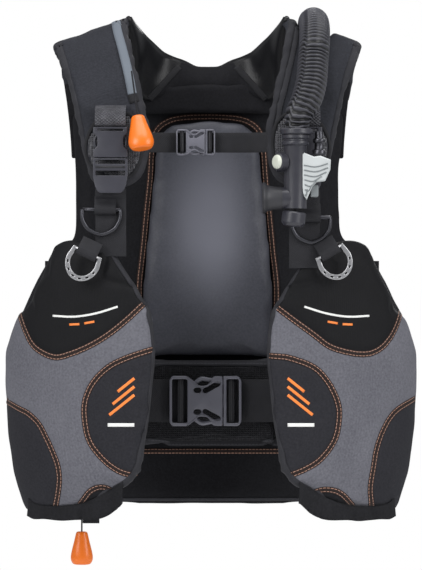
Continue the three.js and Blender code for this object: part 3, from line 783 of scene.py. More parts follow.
# ---------------------------------------------------------------- panel lines
# Lines drawn on the front, in mm at DRAWN_AT. The right side of the vest is at -X.
PADS_MIDDLE = -4  # the back, the shoulders and the collar lie this far to the wearer's right


def across_middle(line, middle=0):
    """A drawn line mirrored about an upright middle line."""
    return [(2 * middle - x, z) for x, z in line]


YOKE = {
    "right": [(-232, -26), (-228, -39.6), (-220.8, -58.8), (-210, -75.6), (-187.8, -86.4),
              (-166, -81.6), (-144, -72), (-122.4, -58.8), (-100.8, -41.4), (-76, -18)],
    "left": [(73, -22), (98.4, -41.4), (122.4, -58.8), (141.6, -73.2), (163.2, -80.4),
             (185.4, -82.8), (202.8, -76.3), (216, -61.2), (224.4, -43.2), (228, -28)],
}
HALF_ROUND = {
    "right": [(-66, -76.5), (-74.4, -78.6), (-100.8, -87.6), (-122.4, -98.4), (-139.8, -115.2),
              (-150, -135.6), (-151.8, -157.2), (-146.4, -185.4), (-130.8, -207.6),
              (-111.6, -222.6), (-90.6, -229.2), (-84, -231)],
    "left": [(66, -84), (73.2, -85.2), (93.6, -87.6), (122.4, -98.4), (139.2, -115.2),
             (150.6, -137.4), (153.6, -157.2), (148.3, -185.4), (130.8, -209.4), (109.2, -222.6),
             (87.2, -230.4), (82, -232)],
}
SIDE_PANEL = {
    "right": [(-249, -137), (-243.7, -140.4), (-231.6, -147.6), (-218.4, -154.8), (-206.4, -166.8),
              (-198, -182.4), (-190.8, -198), (-184.1, -216), (-181.9, -232.8), (-183.6, -250.8),
              (-187, -268)],
    "left": [(249, -134), (242.4, -137.4), (220.3, -152.4), (207.2, -172.3), (198.6, -196.3),
             (194.4, -220.3), (191, -244.3), (193, -268)],
}
ARCH = {
    "right": [(-160.2, -266.4), (-152.9, -256.8), (-142.8, -246), (-129.6, -242.4), (-114, -248.4)],
    "left": [(117.6, -250.8), (135.2, -245.4), (152.4, -248.4), (165.6, -259.2), (174.6, -270.6)],
}
LOBE_EDGE = {
    "right": [(-119, 52), (-106, 31), (-86, 1), (-78, -13), (-67, -34), (-62, -82), (-65, -121),
              (-69, -161), (-76, -200), (-82, -224), (-98, -243), (-124, -257), (-134, -271)],
}
LOBE_EDGE["left"] = across_middle(LOBE_EDGE["right"])
FLAP_FOLD = [(-121.9, 52), (-125.4, 30.7), (-131, 12), (-120.8, 4.3), (-102.4, 0.8), (-90, -2)]


def level(line, at, axis=0):
    """How high a drawn line is at a place along one axis, or None beyond its ends."""
    for p, q in zip(line, line[1:]):
        low, high = sorted((p[axis], q[axis]))
        if low <= at <= high and high > low:
            t = (at - p[axis]) / (q[axis] - p[axis])
            return p[1 - axis] + (q[1 - axis] - p[1 - axis]) * t
    return None


def drawn_place(point):
    """Where a point of the vest falls on the front drawing, in mm."""
    ray = point - EYE
    at = EYE + ray * ((DRAWN_AT - EYE.y) / ray.y)
    return at.x / MM, at.z / MM


# Lining starts behind the first depth, or behind the second where a face looks backwards, in metres.
LINING_FROM, TURNED_LINING_FROM, LOOKS_BACK = -0.118, -0.235, 0.35
YOKE_FLOOR, HEM_LEVEL = -30, -266  # drawn heights, for beyond the ends of the yoke and the arch


def lobe_panel(side, centre, normal):
    """Which cloth a face of a lobe is cut from: 0 grey shell, 1 lining, 2 yoke, 3 patch."""
    if centre.y > LINING_FROM or (normal.y > LOOKS_BACK and centre.y > TURNED_LINING_FROM):
        return 1
    x, z = drawn_place(centre)
    out = -1 if side == "right" else 1
    yoke = level(YOKE[side], x)
    if (yoke is not None and z > yoke) or (yoke is None and z > YOKE_FLOOR):
        return 2
    half = level(HALF_ROUND[side], z, 1)
    if half is not None and x * out < half * out:
        return 3
    outer = level(SIDE_PANEL[side], z, 1)
    if outer is not None and x * out > outer * out:
        return 3
    arch = level(ARCH[side], x)
    if z < HEM_LEVEL or (arch is not None and z < arch):
        return 1
    return 0


def inset(line, gap):
    """A drawn line moved sideways by a gap in mm, to its left as it runs."""
    out = []
    for i, p in enumerate(line):
        a, b = Vector(line[max(i - 1, 0)]), Vector(line[min(i + 1, len(line) - 1)])
        along = (b - a).normalized()
        out.append((p[0] - along.y * gap, p[1] + along.x * gap))
    return out


def tree_of(points):
    """A search tree whose finds carry each point's place in the list."""
    tree = KDTree(len(points))
    for i, p in enumerate(points):
        tree.insert(p, i)
    tree.balance()
    return tree


def creased(obj, lines, depth, reach):
    """Draws the cloth in by depth mm along sewn lines, given as lists of points on it."""
    tree = tree_of([p for line in lines for p in line])
    bm = opened(obj.data)
    bm.normal_update()
    moves = []
    for vert in bm.verts:
        _, _, far = tree.find(vert.co)
        if far < reach * MM * 3:
            moves.append((vert, vert.normal * depth * MM * math.exp(-((far / (reach * MM)) ** 2))))
    for vert, move in moves:
        vert.co -= move
    put_back(bm, obj.data)


def on_surface(surface, line):
    """Points on a surface, 3 mm apart, behind a drawn line."""
    flat = curve_through([(x, z, 0) for x, z in line], 3.0)
    return [surface.drawn(p.x, p.y)[0] for p in flat]


SEAMS = {"yoke": YOKE, "half_round": HALF_ROUND, "side_panel": SIDE_PANEL, "arch": ARCH}


def lobe(side):
    """A front air cell in its four cloths, with its seams and its bound edge; gives its surface."""
    cloths = [SHELL, PACK_CLOTH, YOKE_CLOTH, PATCH_CLOTH]
    body = swollen(side + "_lobe_cell", side + "_lobe", cloths, 5, 3.0, 5, 5)
    surface = Surface(body.data)
    fold = FLAP_FOLD if side == "right" else across_middle(FLAP_FOLD)
    creased(body, [on_surface(surface, line[side]) for line in SEAMS.values()], 1.6, 5)
    creased(body, [on_surface(surface, fold)], 2.2, 4)
    for face in body.data.polygons:
        face.material_index = lobe_panel(side, face.center, face.normal)
    surface = Surface(body.data)
    for name, line in SEAMS.items():
        tape = laid_tape(f"{side}_{name}_seam", line[side], 7.5, surface, SEAM_TAPE, 0.5, 0.9, 0.5)
    rim = inset(LOBE_EDGE[side], -7 if side == "right" else 7)
    edge = laid_tape(side + "_lobe_edge_binding", rim, 10, surface, BINDING, 0.8, 1.4, 0.6)
    return surface


# ---------------------------------------------------------------- upper pads
PAD_EDGE = {
    "right": [(-193.2, 292.8), (-186, 270), (-176.4, 240), (-170.4, 216), (-164.4, 186),
              (-157.2, 150), (-147.6, 128.4), (-136.8, 117.6), (-115.2, 112.8), (-91.2, 120),
              (-78, 135.6), (-72, 162), (-70.8, 186), (-74.4, 210), (-81.6, 240), (-90, 276),
              (-96, 306), (-99.6, 322.8)],
}
PAD_EDGE["left"] = across_middle(PAD_EDGE["right"], PADS_MIDDLE)
MESH_PATCH = {
    "right": [(-114, 206), (-134, 199), (-147, 180), (-150, 158), (-140, 137), (-118, 127),
              (-97, 131), (-85, 148), (-82, 170), (-86, 192), (-97, 204)],
}
MESH_PATCH["left"] = across_middle(MESH_PATCH["right"], PADS_MIDDLE)
UNDERSIDE = 9  # the point of PAD_EDGE from which a pad's inner edge runs up to the neck
STRIPE_MIDDLE = [(-114.6, 318), (-112, 304), (-105.6, 280), (-99, 252), (-94.4, 229)]


def shoulder_pad(side):
    """A shoulder cushion with its bound edge and its quilting; gives its surface."""
    body = swollen(side + "_shoulder_cushion", side + "_shoulder_pad", [PAD_CLOTH], 4.5, 1.6, 4, 3.5)
    turn = 1 if side == "right" else -1
    surface = Surface(body.data)
    inner = inset(PAD_EDGE[side], 7.5 * turn)
    second = inset(PAD_EDGE[side][UNDERSIDE:13 if side == "right" else None], 15 * turn)
    creased(body, [on_surface(surface, inset(PAD_EDGE[side], 10.5 * turn)),
                   on_surface(surface, inset(PAD_EDGE[side][UNDERSIDE:], 22 * turn))], 0.9, 3)
    surface = Surface(body.data)
    edge = laid_tape(side + "_pad_binding", inner, 10, surface, BINDING, 0.5, 1.4, 0.7)
    rail = laid_tape(side + "_pad_quilting", second, 8, surface, QUIET_TAPE, 0.15, 0.8, 0.3)
    return surface


# ---------------------------------------------------------------- body of the vest
def back_cell():
    body = swollen("back_bladder", "back_cell", [PACK_CLOTH], 6, 2.0, 4, 5, rounds=5)
    return body


def inner_pad(name, node_name, cloth, tuck=1.5, stretches=()):
    """A stitched cushion; each stretch (z, reach, move) eases the cloth by move past z, in mm."""
    body = swollen(name, node_name, [cloth], 4, tuck, 5, 4, rounds=4)
    for z, reach, move in stretches:
        for vert in body.data.vertices:
            t = min(1, max(0, (vert.co.z / MM - z) / reach))
            vert.co.z += move * t * MM
    return body


# ---------------------------------------------------------------- patches and collar
def inside(outline, x, z):
    """Whether a drawn point is inside a closed outline."""
    hit = False
    for (x0, z0), (x1, z1) in zip(outline, outline[1:] + outline[:1]):
        if (z0 > z) != (z1 > z) and x < (x1 - x0) * (z - z0) / (z1 - z0) + x0:
            hit = not hit
    return hit


PATCH_CELL, PATCH_THICK = 3.0, 0.8


def laid_patch(name, outline, surface, material, lift):
    """A thin panel sewn over a surface inside a drawn outline; its raw edge goes under a tape."""
    xs, zs = [p[0] for p in outline], [p[1] for p in outline]
    across, up = max(xs) - min(xs), max(zs) - min(zs)
    bm = bmesh.new()
    bmesh.ops.create_grid(bm, x_segments=int(across / PATCH_CELL),
                          y_segments=int(up / PATCH_CELL), size=0.5)
    bmesh.ops.scale(bm, vec=(across, up, 1), verts=bm.verts)
    bmesh.ops.translate(bm, vec=(min(xs) + across / 2, min(zs) + up / 2, 0), verts=bm.verts)
    outer = [v for v in bm.verts if not inside(outline, v.co.x, v.co.y)]
    bmesh.ops.delete(bm, geom=outer, context="VERTS")
    for vert in bm.verts:
        spot, normal = surface.drawn(vert.co.x, vert.co.y)
        vert.co = spot + normal * lift * MM
    bmesh.ops.recalc_face_normals(bm, faces=bm.faces)
    if sum(f.normal.y for f in bm.faces) > 0:
        bmesh.ops.reverse_faces(bm, faces=bm.faces)
    obj = show(name, to_mesh(bm, name), material, "vest")
    wall = obj.modifiers.new("wall", "SOLIDIFY")
    wall.thickness = PATCH_THICK * MM
    return obj


def at_depth(x, z, y):
    """The point at a depth in mm that the front drawing shows at (x, z)."""
    ray = sight(x, z)
    return EYE + ray * ((y * MM - EYE.y) / ray.y)


# The neck opening from the middle of the back to the top of the shoulder: drawn place and depth.
NECK_EDGE = [(-4, 258.5, -47), (-19, 259.5, -47), (-34.8, 267.6, -50), (-58.2, 278.4, -60),
             (-75.6, 294, -80), (-91.2, 309.6, -106), (-99.6, 321.5, -127)]
# The collar lies farther back than the drawing's plane, so its middle line is this much farther out.
COLLAR_GROWTH = 1.045
COLLAR_FOLD, COLLAR_BELLY, COLLAR_CELLS = 0.0014, 0.005, 9
COLLAR_SEAM = [(-38, 262), (-50, 249), (-62, 236), (-74, 223)]
NECK_FOOT = [(-4, 232, -56), (-24, 232, -58), (-52, 231, -62), (-80, 222, -68), (-92, 245, -84),
             (-97, 285, -104), (-101, 318, -124)]


def collar():
    """The coated lining that turns over from the back to the shoulders, round the neck."""
    def half(points, spacing):
        return curve_through([at_depth(*p) for p in points], spacing * MM)

    top, foot = half(NECK_EDGE, 4), half(NECK_FOOT, 1)
    rows = []
    for i, p in enumerate(top):
        q = foot[round(i / (len(top) - 1) * (len(foot) - 1))]
        row = []
        for k in range(COLLAR_CELLS + 1):
            t = k / COLLAR_CELLS
            spot = p.lerp(q, t)
            fold = COLLAR_FOLD * math.sin(i * 0.5 + t * 5) * min(1, i / 8)
            spot.y -= COLLAR_BELLY * math.sin(math.pi * t) - fold
            row.append(spot)
        rows.append(row)

    def other(p):
        return Vector((2 * PADS_MIDDLE * MM * COLLAR_GROWTH - p.x, p.y, p.z))

    rows = [[other(p) for p in row] for row in reversed(rows[1:])] + rows
    lining = strip("collar_lining", rows, [PACK_CLOTH, LINING], 5)
    for face in lining.data.polygons:
        x, z = drawn_place(face.center)
        x = -abs(x - PADS_MIDDLE) + PADS_MIDDLE
        (x0, z0), (x1, z1) = COLLAR_SEAM[0], COLLAR_SEAM[-1]
        face.material_index = int((x - x0) * (z1 - z0) > (z - z0) * (x1 - x0))
    edge = [row[0] + Vector((0, 0.001, -0.001)) for row in rows]
    piping = swept("collar_piping", edge, 3.4, 10, BLACK_CLOTH_EDGE, "vest")
    surface = Surface(applied(lining))
    for side in ("right", "left"):
        line = COLLAR_SEAM if side == "right" else across_middle(COLLAR_SEAM, PADS_MIDDLE)
        tape = laid_tape(side + "_collar_seam", line, 8, surface, BLACK_BINDING, 0.6, 1.0)


# The edge of the back beside each armhole, and how far in from it the gusset's rows reach, in mm.
ARMHOLE = [(-176, 242), (-173, 222), (-171, 205), (-169.5, 190), (-168, 172), (-167, 152)]
ARMHOLE_ROWS = (0, 3, 12, 24, 36)


def armhole_gussets():
    """The cloth that carries the edge of the back up behind each shoulder pad."""
    for side in ("right", "left"):
        line = ARMHOLE if side == "right" else across_middle(ARMHOLE, PADS_MIDDLE)
        inward = 1 if side == "right" else -1
        rows = [[at_depth(x + inward * w, z, -42 - max(0, z - 200) * 0.6) for w in ARMHOLE_ROWS]
                for x, z in line]
        gusset = strip(side + "_armhole_gusset", rows, PACK_CLOTH, 6, bevel=2.0)


GUSSET_FOLD = ((177, -62), (184, -64), (191, -68), (198, -74), (207, -82))


def side_gussets():
    """The cloth that closes each lobe to the edge of the back, let into both."""
    for side, turn in (("right", -1), ("left", 1)):
        rows = []
        for z in range(-258, 40, 12):
            forward = 8 if z < -230 else 0
            rows.append([Vector((turn * x, y - forward, z)) * MM for x, y in GUSSET_FOLD])
        gusset = strip(side + "_side_gusset", rows, PACK_CLOTH, 4)


# ---------------------------------------------------------------- straps
def strap(name, line, centre, width, material, node_name, thick=1.4, along="z"):
    """Flat webbing whose side view follows a line; along is the axis that its width lies on."""
    path = curve_through([Vector((a, b, 0)) for a, b in line], 1.6)
    rows = []
    for p in path:
        row = []
        for k in range(5):
            t = (k / 4 - 0.5) * width
            place = (p.x, p.y, centre + t) if along == "z" else (centre + t, p.x, p.y)
            row.append(Vector(place) * MM)
        rows.append(row)
    obj = strip(name, rows, material, thick, bevel=0.3)
    obj.modifiers["wall"].offset = 0
    if node_name:
        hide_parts(node_name)


# Side views of the webbing, from the buckle outwards: (distance from the middle, depth) in mm.
CHEST_START = {"right": (22, -186.3), "left": (3, -186.3)}
CHEST_RUN = [(36, -186.3), (50, -187), (62, -190), (74, -196), (86, -203.6)]
WAIST_RUN = [(24, -90), (60, -90), (88, -90), (110, -92), (140, -99), (170, -109), (196, -120),
             (213, -132)]


def chest_and_waist_straps():
    for side, turn in (("right", -1), ("left", 1)):
        chest = [(PADS_MIDDLE + turn * x, y) for x, y in (CHEST_START[side], *CHEST_RUN)]
        strap(side + "_chest_strap", chest, 171.6, 24, WEBBING, side + "_chest_webbing")
        waist = [(turn * x, y) for x, y in WAIST_RUN]
        strap(side + "_waist_strap", waist, -143.8, 53, WEBBING, side + "_waist_webbing")


SHOULDER_X = {"right": -119, "left": 111}
STRAP_WIDTH = 36.5
# The centre of each strap ring, of each lobe ring, and the lobe ring's tilt in radians.
RINGS = {
    "right": ((-130.3, -235.2, 89.5), (-147, -241.4, 37), -0.44),
    "left": ((118.4, -238.6, 80), (141, -241.4, 38), 0.52),
}
STRAP_FOOT = {"right": 60, "left": 46}
LOOP_SPAN = {"right": (-8, 17.5), "left": (-17.5, 11.5)}  # the loop's edges, from its ring's centre


def shoulder_straps():
    """The fold over each upper buckle, the strap below it, and the loop that holds the strap ring."""
    for side, x in SHOULDER_X.items():
        ring_x, ring_y, ring_z = RINGS[side][0]
        foot = STRAP_FOOT[side]
        fold = [(-224, 213), (-232, 212), (-241, 208), (-247.4, 201), (-248.8, 194.5), (-246.4, 190),
                (-242.6, 188.4)]
        strap(side + "_shoulder_strap", fold, x, STRAP_WIDTH, COARSE_WEBBING,
              side + "_shoulder_webbing", 2.0, "x")
        lower = [(-236, 114), (-235.2, 106), (ring_y + 4.2, 98), (ring_y + 4.2, foot + 6),
                 (ring_y + 5.2, foot - 8), (ring_y + 8, foot - 26)]
        strap(side + "_lower_shoulder_strap", lower, x, STRAP_WIDTH, WEBBING, side + "_lower_strap",
              1.6, "x")
        wrap = [(ring_y + 4, ring_z + 16), (ring_y + 1, ring_z + 9), (ring_y - 3.6, ring_z + 4.4),
                (ring_y - 5.0, ring_z), (ring_y - 3.4, ring_z - 4), (ring_y + 0.5, ring_z - 5.2),
                (ring_y + 3.4, ring_z - 4)]
        low, high = LOOP_SPAN[side]
        strap(side + "_ring_loop", wrap, ring_x + (low + high) / 2, high - low, WEBBING, None, 1.4, "x")


# ---------------------------------------------------------------- buckles
def both_ways(points):
    """A closed outline from its upper half, mirrored below the middle line."""
    return points + [(u, -v) for u, v in reversed(points)]


def scaled(outline, su, sv):
    """An outline of the large buckle brought to another size."""
    return [(u * su, v * sv) for u, v in outline]


SOCKET_SIDE = round_corners(both_ways([
    (-66.5, 26), (-63, 31), (-46, 31), (-41.5, 28.5), (-34.5, 21.5), (-30.5, 17.8), (-24.7, 17.2),
    (-19, 18.6), (-15.8, 22.3), (-13.6, 28.4), (-11, 30.6), (-0.4, 30.6)]), 2.2, 3)
LOOP_WINDOW = rectangle(-63.2, -27.2, -44.2, 27.2, 2.5)
DOTS = [capsule((-33, v), (-30.4, v), 7.0) for v in (13.4, -13.4)]
BEANS = [capsule((-22, 12.9 * s), (-6.4, 21.4 * s), 6.8) for s in (1, -1)]
FRAME_SIDE = round_corners(both_ways([(0.6, 30.6), (19, 31), (23, 26)]), [0.8, 3, 3, 3, 3, 0.8], 3)
FRAME_WINDOW = rectangle(4.4, -27.2, 19.6, 27.2, 2.0)
# Upper halves of the raised lip along the socket's waist and of the sprung arm inside it.
LIP = [(-43.6, 29.6), (-34.5, 22.4), (-30.5, 18.9), (-24.7, 18.2), (-19, 19.6), (-14.6, 24)]
ARM = [(1.5, 23), (-8, 24.6), (-18.4, 26.4), (-26.7, 27.4), (-33.2, 23), (-35.2, 19.4)]
HALVES = (("upper", 1), ("lower", -1))


def hollowed(obj, low, high):
    """Opens a boxed cavity in a piece, in mm."""
    bm = bmesh.new()
    size = Vector(high) - Vector(low)
    bmesh.ops.create_cube(bm, size=1)
    bmesh.ops.scale(bm, vec=size * MM, verts=bm.verts)
    bmesh.ops.translate(bm, vec=(Vector(low) + size / 2) * MM, verts=bm.verts)
    tool = show(obj.name + "_cavity", to_mesh(bm, obj.name + "_cavity"), None, None, False)
    cut = obj.modifiers.new("cavity", "BOOLEAN")
    cut.operation = "DIFFERENCE"
    cut.object = tool
    cut.solver = "EXACT"
    bake(obj)
    bpy.data.objects.remove(tool)


def side_release(name, origin, su, sv, thick, node_name):
    """A side-release buckle lying along X: socket, sprung tongue and the webbing round both bars.

    su and sv bring the large waist buckle's outlines to this one's length and height.
    """
    x, y, z = origin
    place = facing_front(x, y + thick / 2, z)
    holes = [scaled(h, su, sv) for h in [LOOP_WINDOW, *DOTS, *BEANS]]
    socket = plate(name + "_socket_shell", [scaled(SOCKET_SIDE, su, sv), *holes], thick, BUCKLE,
                   home(node_name + "_socket"), place, 0.9, lambda u, v: -1.1 * (v / (31 * sv)) ** 2)
    hollowed(socket, (x - 30 * su, y + 3, z - 26 * sv), (x + 2, y + thick - 3, z + 26 * sv))
    stands_for(socket, node_name + "_socket")
    for half, s in HALVES:
        lip = [Vector((x + u, y + 0.4, z + v * s)) * MM for u, v in scaled(LIP, su, sv)]
        ridge = swept(f"{name}_socket_lip_{half}", curve_through(lip, MM), 0.8, 8, BUCKLE,
                      home(node_name + "_socket"))
    tongue_body = home(node_name + "_tongue")
    tongue = plate(name + "_tongue_frame", [scaled(FRAME_SIDE, su, sv), scaled(FRAME_WINDOW, su, sv)],
                   thick * 0.94, BUCKLE, tongue_body, place, 0.9)
    stands_for(tongue, node_name + "_tongue")
    guide = plate(name + "_tongue_guide", [rectangle(-26 * su, -8 * sv, 2, 8 * sv, 2)], thick * 0.4,
                  BUCKLE, tongue_body, place, 0.6)
    for half, s in HALVES:
        points = [Vector((x + u * su, y + thick / 2, z + v * sv * s)) * MM for u, v in ARM]
        prong = swept(f"{name}_prong_{half}", curve_through(points, 1.2 * MM), 2.6 * sv + 0.3, 12,
                      BUCKLE, tongue_body)
    for label, u, body in (("socket", -52.8, home(node_name + "_socket")),
                           ("tongue", 10.6, tongue_body)):
        bar = [Vector((x + u * su, y + thick * 0.5, z + v * sv)) * MM
               for v in (-27.5, -14, 0, 14, 27.5)]
        wrap = swept(f"{name}_{label}_strap_turn", bar, 4.3 * su + 0.3, 20, WEBBING_FLAT, body)


def shoulder_buckle(side, x):
    """A shoulder side-release buckle: square socket above, ladder-lock tongue and lift tab below."""
    node_name = side + "_shoulder_buckle"
    y, z = -247.5, 150.5
    right = [(20.5, 0.4), (20.5, 9.6), (17.4, 11.4), (15.4, 14.4), (15.4, 24), (17.4, 27), (20.5, 28.8),
             (20.5, 36.5)]
    outline = round_corners(right + [(-u, v) for u, v in reversed(right)], 1.6, 3)
    place = facing_front(x, y + 5.5, z)
    window = rectangle(-15, 31.6, 15, 34.2, 0.8)
    socket = plate(node_name + "_shell", [outline, window], 11, DARK_BUCKLE, "vest", place, 0.9,
                   lambda u, v: -0.8 * (u / 20.5) ** 2)
    hollowed(socket, (x - 17, y + 2.4, z - 1), (x + 17, y + 8.6, z + 17))
    stands_for(socket, node_name + "_socket")
    body = home(node_name + "_tongue")
    ladder = [(-20.5, -0.8), (-20.5, -22), (-18.2, -34), (-14, -41.8), (14, -41.8), (18.2, -34),
              (20.5, -22), (20.5, -0.8)]
    slots = [rectangle(-17.6, -7.2, 17.6, -2.6, 1), rectangle(-17.6, -21, 17.6, -15.4, 1)]
    ladder = round_corners(ladder, [0.8, 3, 6, 6, 6, 6, 3, 0.8])
    tongue = plate(node_name + "_ladder", [ladder, *slots], 6.0, DARK_BUCKLE, body,
                   facing_front(x, y + 3.6, z), 0.8,
                   lambda u, v: 2.2 * max(0, (-v - 22) / 20) ** 1.5)
    stands_for(tongue, node_name + "_tongue")
    guide = plate(node_name + "_guide", [rectangle(-6, -2, 6, 15, 1.5)], 4, DARK_BUCKLE, body,
                  facing_front(x, y + 5.5, z), 0.6)
    arm = [(12, -1), (14, 5), (16.5, 11), (18.6, 17), (18.4, 22), (16, 26.5)]
    for half, s in (("right", -1), ("left", 1)):
        points = [Vector((x + u * s, y + 5.5, z + v)) * MM for u, v in arm]
        prong = swept(f"{node_name}_prong_{half}", curve_through(points, MM), 1.9, 12, BLACK_PLASTIC,
                      body)
    bar = [Vector((x + u, y + 4.2, z - 11.2)) * MM for u in (-17.4, -9, 0, 9, 17.4)]
    turn = swept(node_name + "_strap_turn", bar, 3.9, 20, WEBBING_FLAT, body)


# ---------------------------------------------------------------- rings
def wire_ring(side, centre):
    """A strap D-ring of round wire: a straight bar through the loop and a half-round bow."""
    x, y, z = centre
    half, drop, wire = 22.5, 29.5, 2.4
    bow = [(-half, 0), (-half, -9), (-half * 0.9, -16), (-half * 0.62, -24), (0, -drop),
           (half * 0.62, -24), (half * 0.9, -16), (half, -9), (half, 0)]
    bow = curve_through([Vector((x + u, y, z + v)) * MM for u, v in bow], 1.5 * MM)
    bar = [Vector((x + u, y, z)) * MM for u in (half / 2, 0, -half / 2, 0.6 - half)]
    body = home(side + "_shoulder_d_ring")
    made = swept(side + "_strap_ring_bow", bow + bar, wire, 12, DARK_STEEL, body)
    stands_for(made, side + "_shoulder_d_ring")


def horseshoe(side, centre, tilt):
    """A flat pressed-steel ring shaped like a horseshoe, with punched slots round its bow."""
    def oval(r_u, r_v, start, stop, steps):
        """Points of an ellipse from one angle in degrees to another."""
        angles = [math.radians(start + (stop - start) * k / steps) for k in range(steps + 1)]
        return [(r_u * math.cos(a), r_v * math.sin(a)) for a in angles]
    outer = [(-18.5, 3)] + [(u, v - 10) for u, v in oval(21, 24, 180, 360, 28)] + [(18.5, 3)]
    inner = [(13.2, 3)] + [(u, v - 10) for u, v in oval(15.2, 17.6, 360, 180, 24)] + [(-13.2, 3)]
    outline = round_corners(outer + inner, 0.9, 2)
    punched = []
    for a in (200, 228, 256, 284, 312, 340):
        rad = math.radians(a)
        middle = Vector((18.1 * math.cos(rad), 20.8 * math.sin(rad) - 10))
        along = Vector((-math.sin(rad), math.cos(rad))) * 1.1
        punched.append(capsule(middle - along, middle + along, 1.9, 5))
    body = home(side + "_lobe_d_ring")
    made = plate(side + "_horseshoe_ring", [outline, *punched], 3.0, STEEL, body,
                 facing_front(*centre, tilt), 0.7)
    stands_for(made, side + "_lobe_d_ring")
    turn = Matrix.Rotation(tilt, 4, "Z")
    ends = [turn @ Vector((u, 1.2, 0)) for u in (-17.5, -8, 0, 8, 17.5)]
    x, y, z = centre
    bar = [Vector((x + p.x, y, z + p.y)) * MM for p in ends]
    rod = swept(side + "_horseshoe_bar", bar, 1.7, 12, STEEL, body)


def ring_tab(side, centre, tilt):
    """The webbing tab that holds a horseshoe ring: it turns over the bar and is sewn to the lobe."""
    x, y, z = centre
    turn = Matrix.Rotation(tilt, 4, "Z")
    fold = [(4.0, 17), (1.4, 12.5), (-1.4, 8), (-3.8, 4), (-4.4, 0.5), (-3.6, -2.8), (-0.6, -3.6)]
    path = curve_through([Vector((a, b, 0)) for a, b in fold], 1.5)
    rows = []
    for p in path:
        row = []
        for k in range(5):
            spot = turn @ Vector(((k / 4 - 0.5) * 25, p.y, 0))
            row.append(Vector((x + spot.x, y + p.x, z + spot.y)) * MM)
        rows.append(row)
    tab = strip(side + "_ring_tab_webbing", rows, WEBBING, 1.5, "vest", bevel=0.3)
    stands_for(tab, side + "_lobe_ring_tab")


# ---------------------------------------------------------------- plain hard pieces
HARD_PIECES = [
    # node, finish, slot, bevel mm
    ("backplate", HARD_PLATE, "hard_plastic", 1.0),
    ("tank_pad", SOFT_RUBBER, "soft_rubber", 0.6),
    ("carry_handle", HARD_PLATE, "hard_plastic", 1.0),
    ("cam_buckle_frame", BLACK_PLASTIC, "hard_plastic", 0.8),
    ("cam_buckle_lever", BLACK_PLASTIC, "hard_plastic", 0.8),
    ("cam_buckle_pin", STEEL, "bright_metal", 0.3),
    ("tank_band", WEBBING_FLAT, "webbing", 0.4),
    ("hose_elbow", BLACK_PLASTIC, "hard_plastic", 0.6),
    ("shoulder_valve_body", BLACK_PLASTIC, "hard_plastic", 0.5),
    ("shoulder_valve_cap", BLACK_PLASTIC, "hard_plastic", 0.5),
    ("shoulder_valve_poppet", CREAM_PLASTIC, "pale_plastic", 0.3),
    ("lower_valve_body", BLACK_PLASTIC, "hard_plastic", 0.5),
    ("lower_valve_cap", BLACK_PLASTIC, "hard_plastic", 0.5),
    ("lower_valve_poppet", CREAM_PLASTIC, "pale_plastic", 0.3),
    ("inflator_body", BLACK_PLASTIC, "hard_plastic", 0.6),
    ("hose_collar", BLACK_PLASTIC, "hard_plastic", 0.5),
    ("inflator_nipple", DARK_STEEL, "bright_metal", 0.3),
    ("inflator_end_cap", BLACK_PLASTIC, "hard_plastic", 0.5),
    ("inflate_housing", PALE_PLASTIC, "pale_plastic", 0.6),
    ("inflate_button", GREY_PLASTIC, "grey_plastic", 0.5),
]


# ---------------------------------------------------------------- corrugated hose
HOSE_ROUTE = [(129, -3, 241), (128.6, -11, 266), (127.6, -38, 295), (126.4, -78, 315),
              (125.6, -115, 322), (125.4, -150, 319.5), (125.2, -182, 307), (123.4, -212.6, 284.5),
              (121.6, -224, 268), (118.6, -244, 240), (112, -259, 217), (103.4, -267, 201),
              (100.6, -268, 188.5), (100.2, -268, 184.4)]
HOSE_RADIUS, HOSE_SIDES = 19, 72
RIB_PITCH, GROOVE_DEPTH = 5.8, 3.2
# The hose narrows by so much over its last run, which stops a little short of its end, in mm.
NARROWING, NARROW_RUN, SHORT_OF_END = 3.6, 42, 4
# How far up a rib sits, in mm, at each angle round the hose: 0 at its inner side, 90 on its front.
RIB_WAVE = [(0, 1.4), (42, 2.6), (62, -2.8), (90, -2.6), (132, -0.4), (180, 2.8), (270, 0), (360, 1.4)]


def eased(keys, at):
    """A value that eases from key to key."""
    for (a, low), (b, high) in zip(keys, keys[1:]):
        if a <= at <= b:
            t = (at - a) / (b - a)
            return low + (high - low) * t * t * (3 - 2 * t)
    return keys[-1][1]


def hose():
    """A rubber hose whose ribs run round it in a wave, so that it bends without closing."""
    route = curve_through([Vector(p) * MM for p in HOSE_ROUTE], 0.72 * MM)
    obj = swept("corrugated_hose", route, HOSE_RADIUS - 0.4, HOSE_SIDES, HOSE_RUBBER, None, caps=False)
    tree = tree_of(route)
    turns = transported(route)
    walked = [0.0]
    for p, q in zip(route, route[1:]):
        walked.append(walked[-1] + (q - p).length / MM)
    # the groove attribute also carries painted shade: the rubber's colour is darkened to near black in
    # each groove
    shadow = obj.data.attributes.new("groove", "FLOAT", "POINT")
    for vert in obj.data.vertices:
        _, i, _ = tree.find(vert.co)
        local = turns[i].inverted() @ (vert.co - route[i])
        round_it = turns[i] @ Vector((local.x, local.y, 0)).normalized()
        outer = (turns[i] @ Vector((0, 0, 1))).cross(Vector((1, 0, 0)))
        angle = math.degrees(math.atan2(round_it.dot(outer), -round_it.x)) % 360
        far = walked[i] + local.z / MM + eased(RIB_WAVE, angle)
        groove = (0.5 + 0.5 * math.cos(far * math.tau / RIB_PITCH)) ** 1.2
        out = Vector((local.x, local.y, 0)).normalized()
        left = max(0, walked[-1] - walked[i] - SHORT_OF_END)
        taper = NARROWING * (1 - min(1, left / NARROW_RUN)) ** 1.5
        vert.co -= turns[i] @ out * (GROOVE_DEPTH * groove + taper) * MM
        shadow.data[vert.index].value = groove
    stands_for(obj, ["hose_upper", "hose_lower"])
    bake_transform(obj)


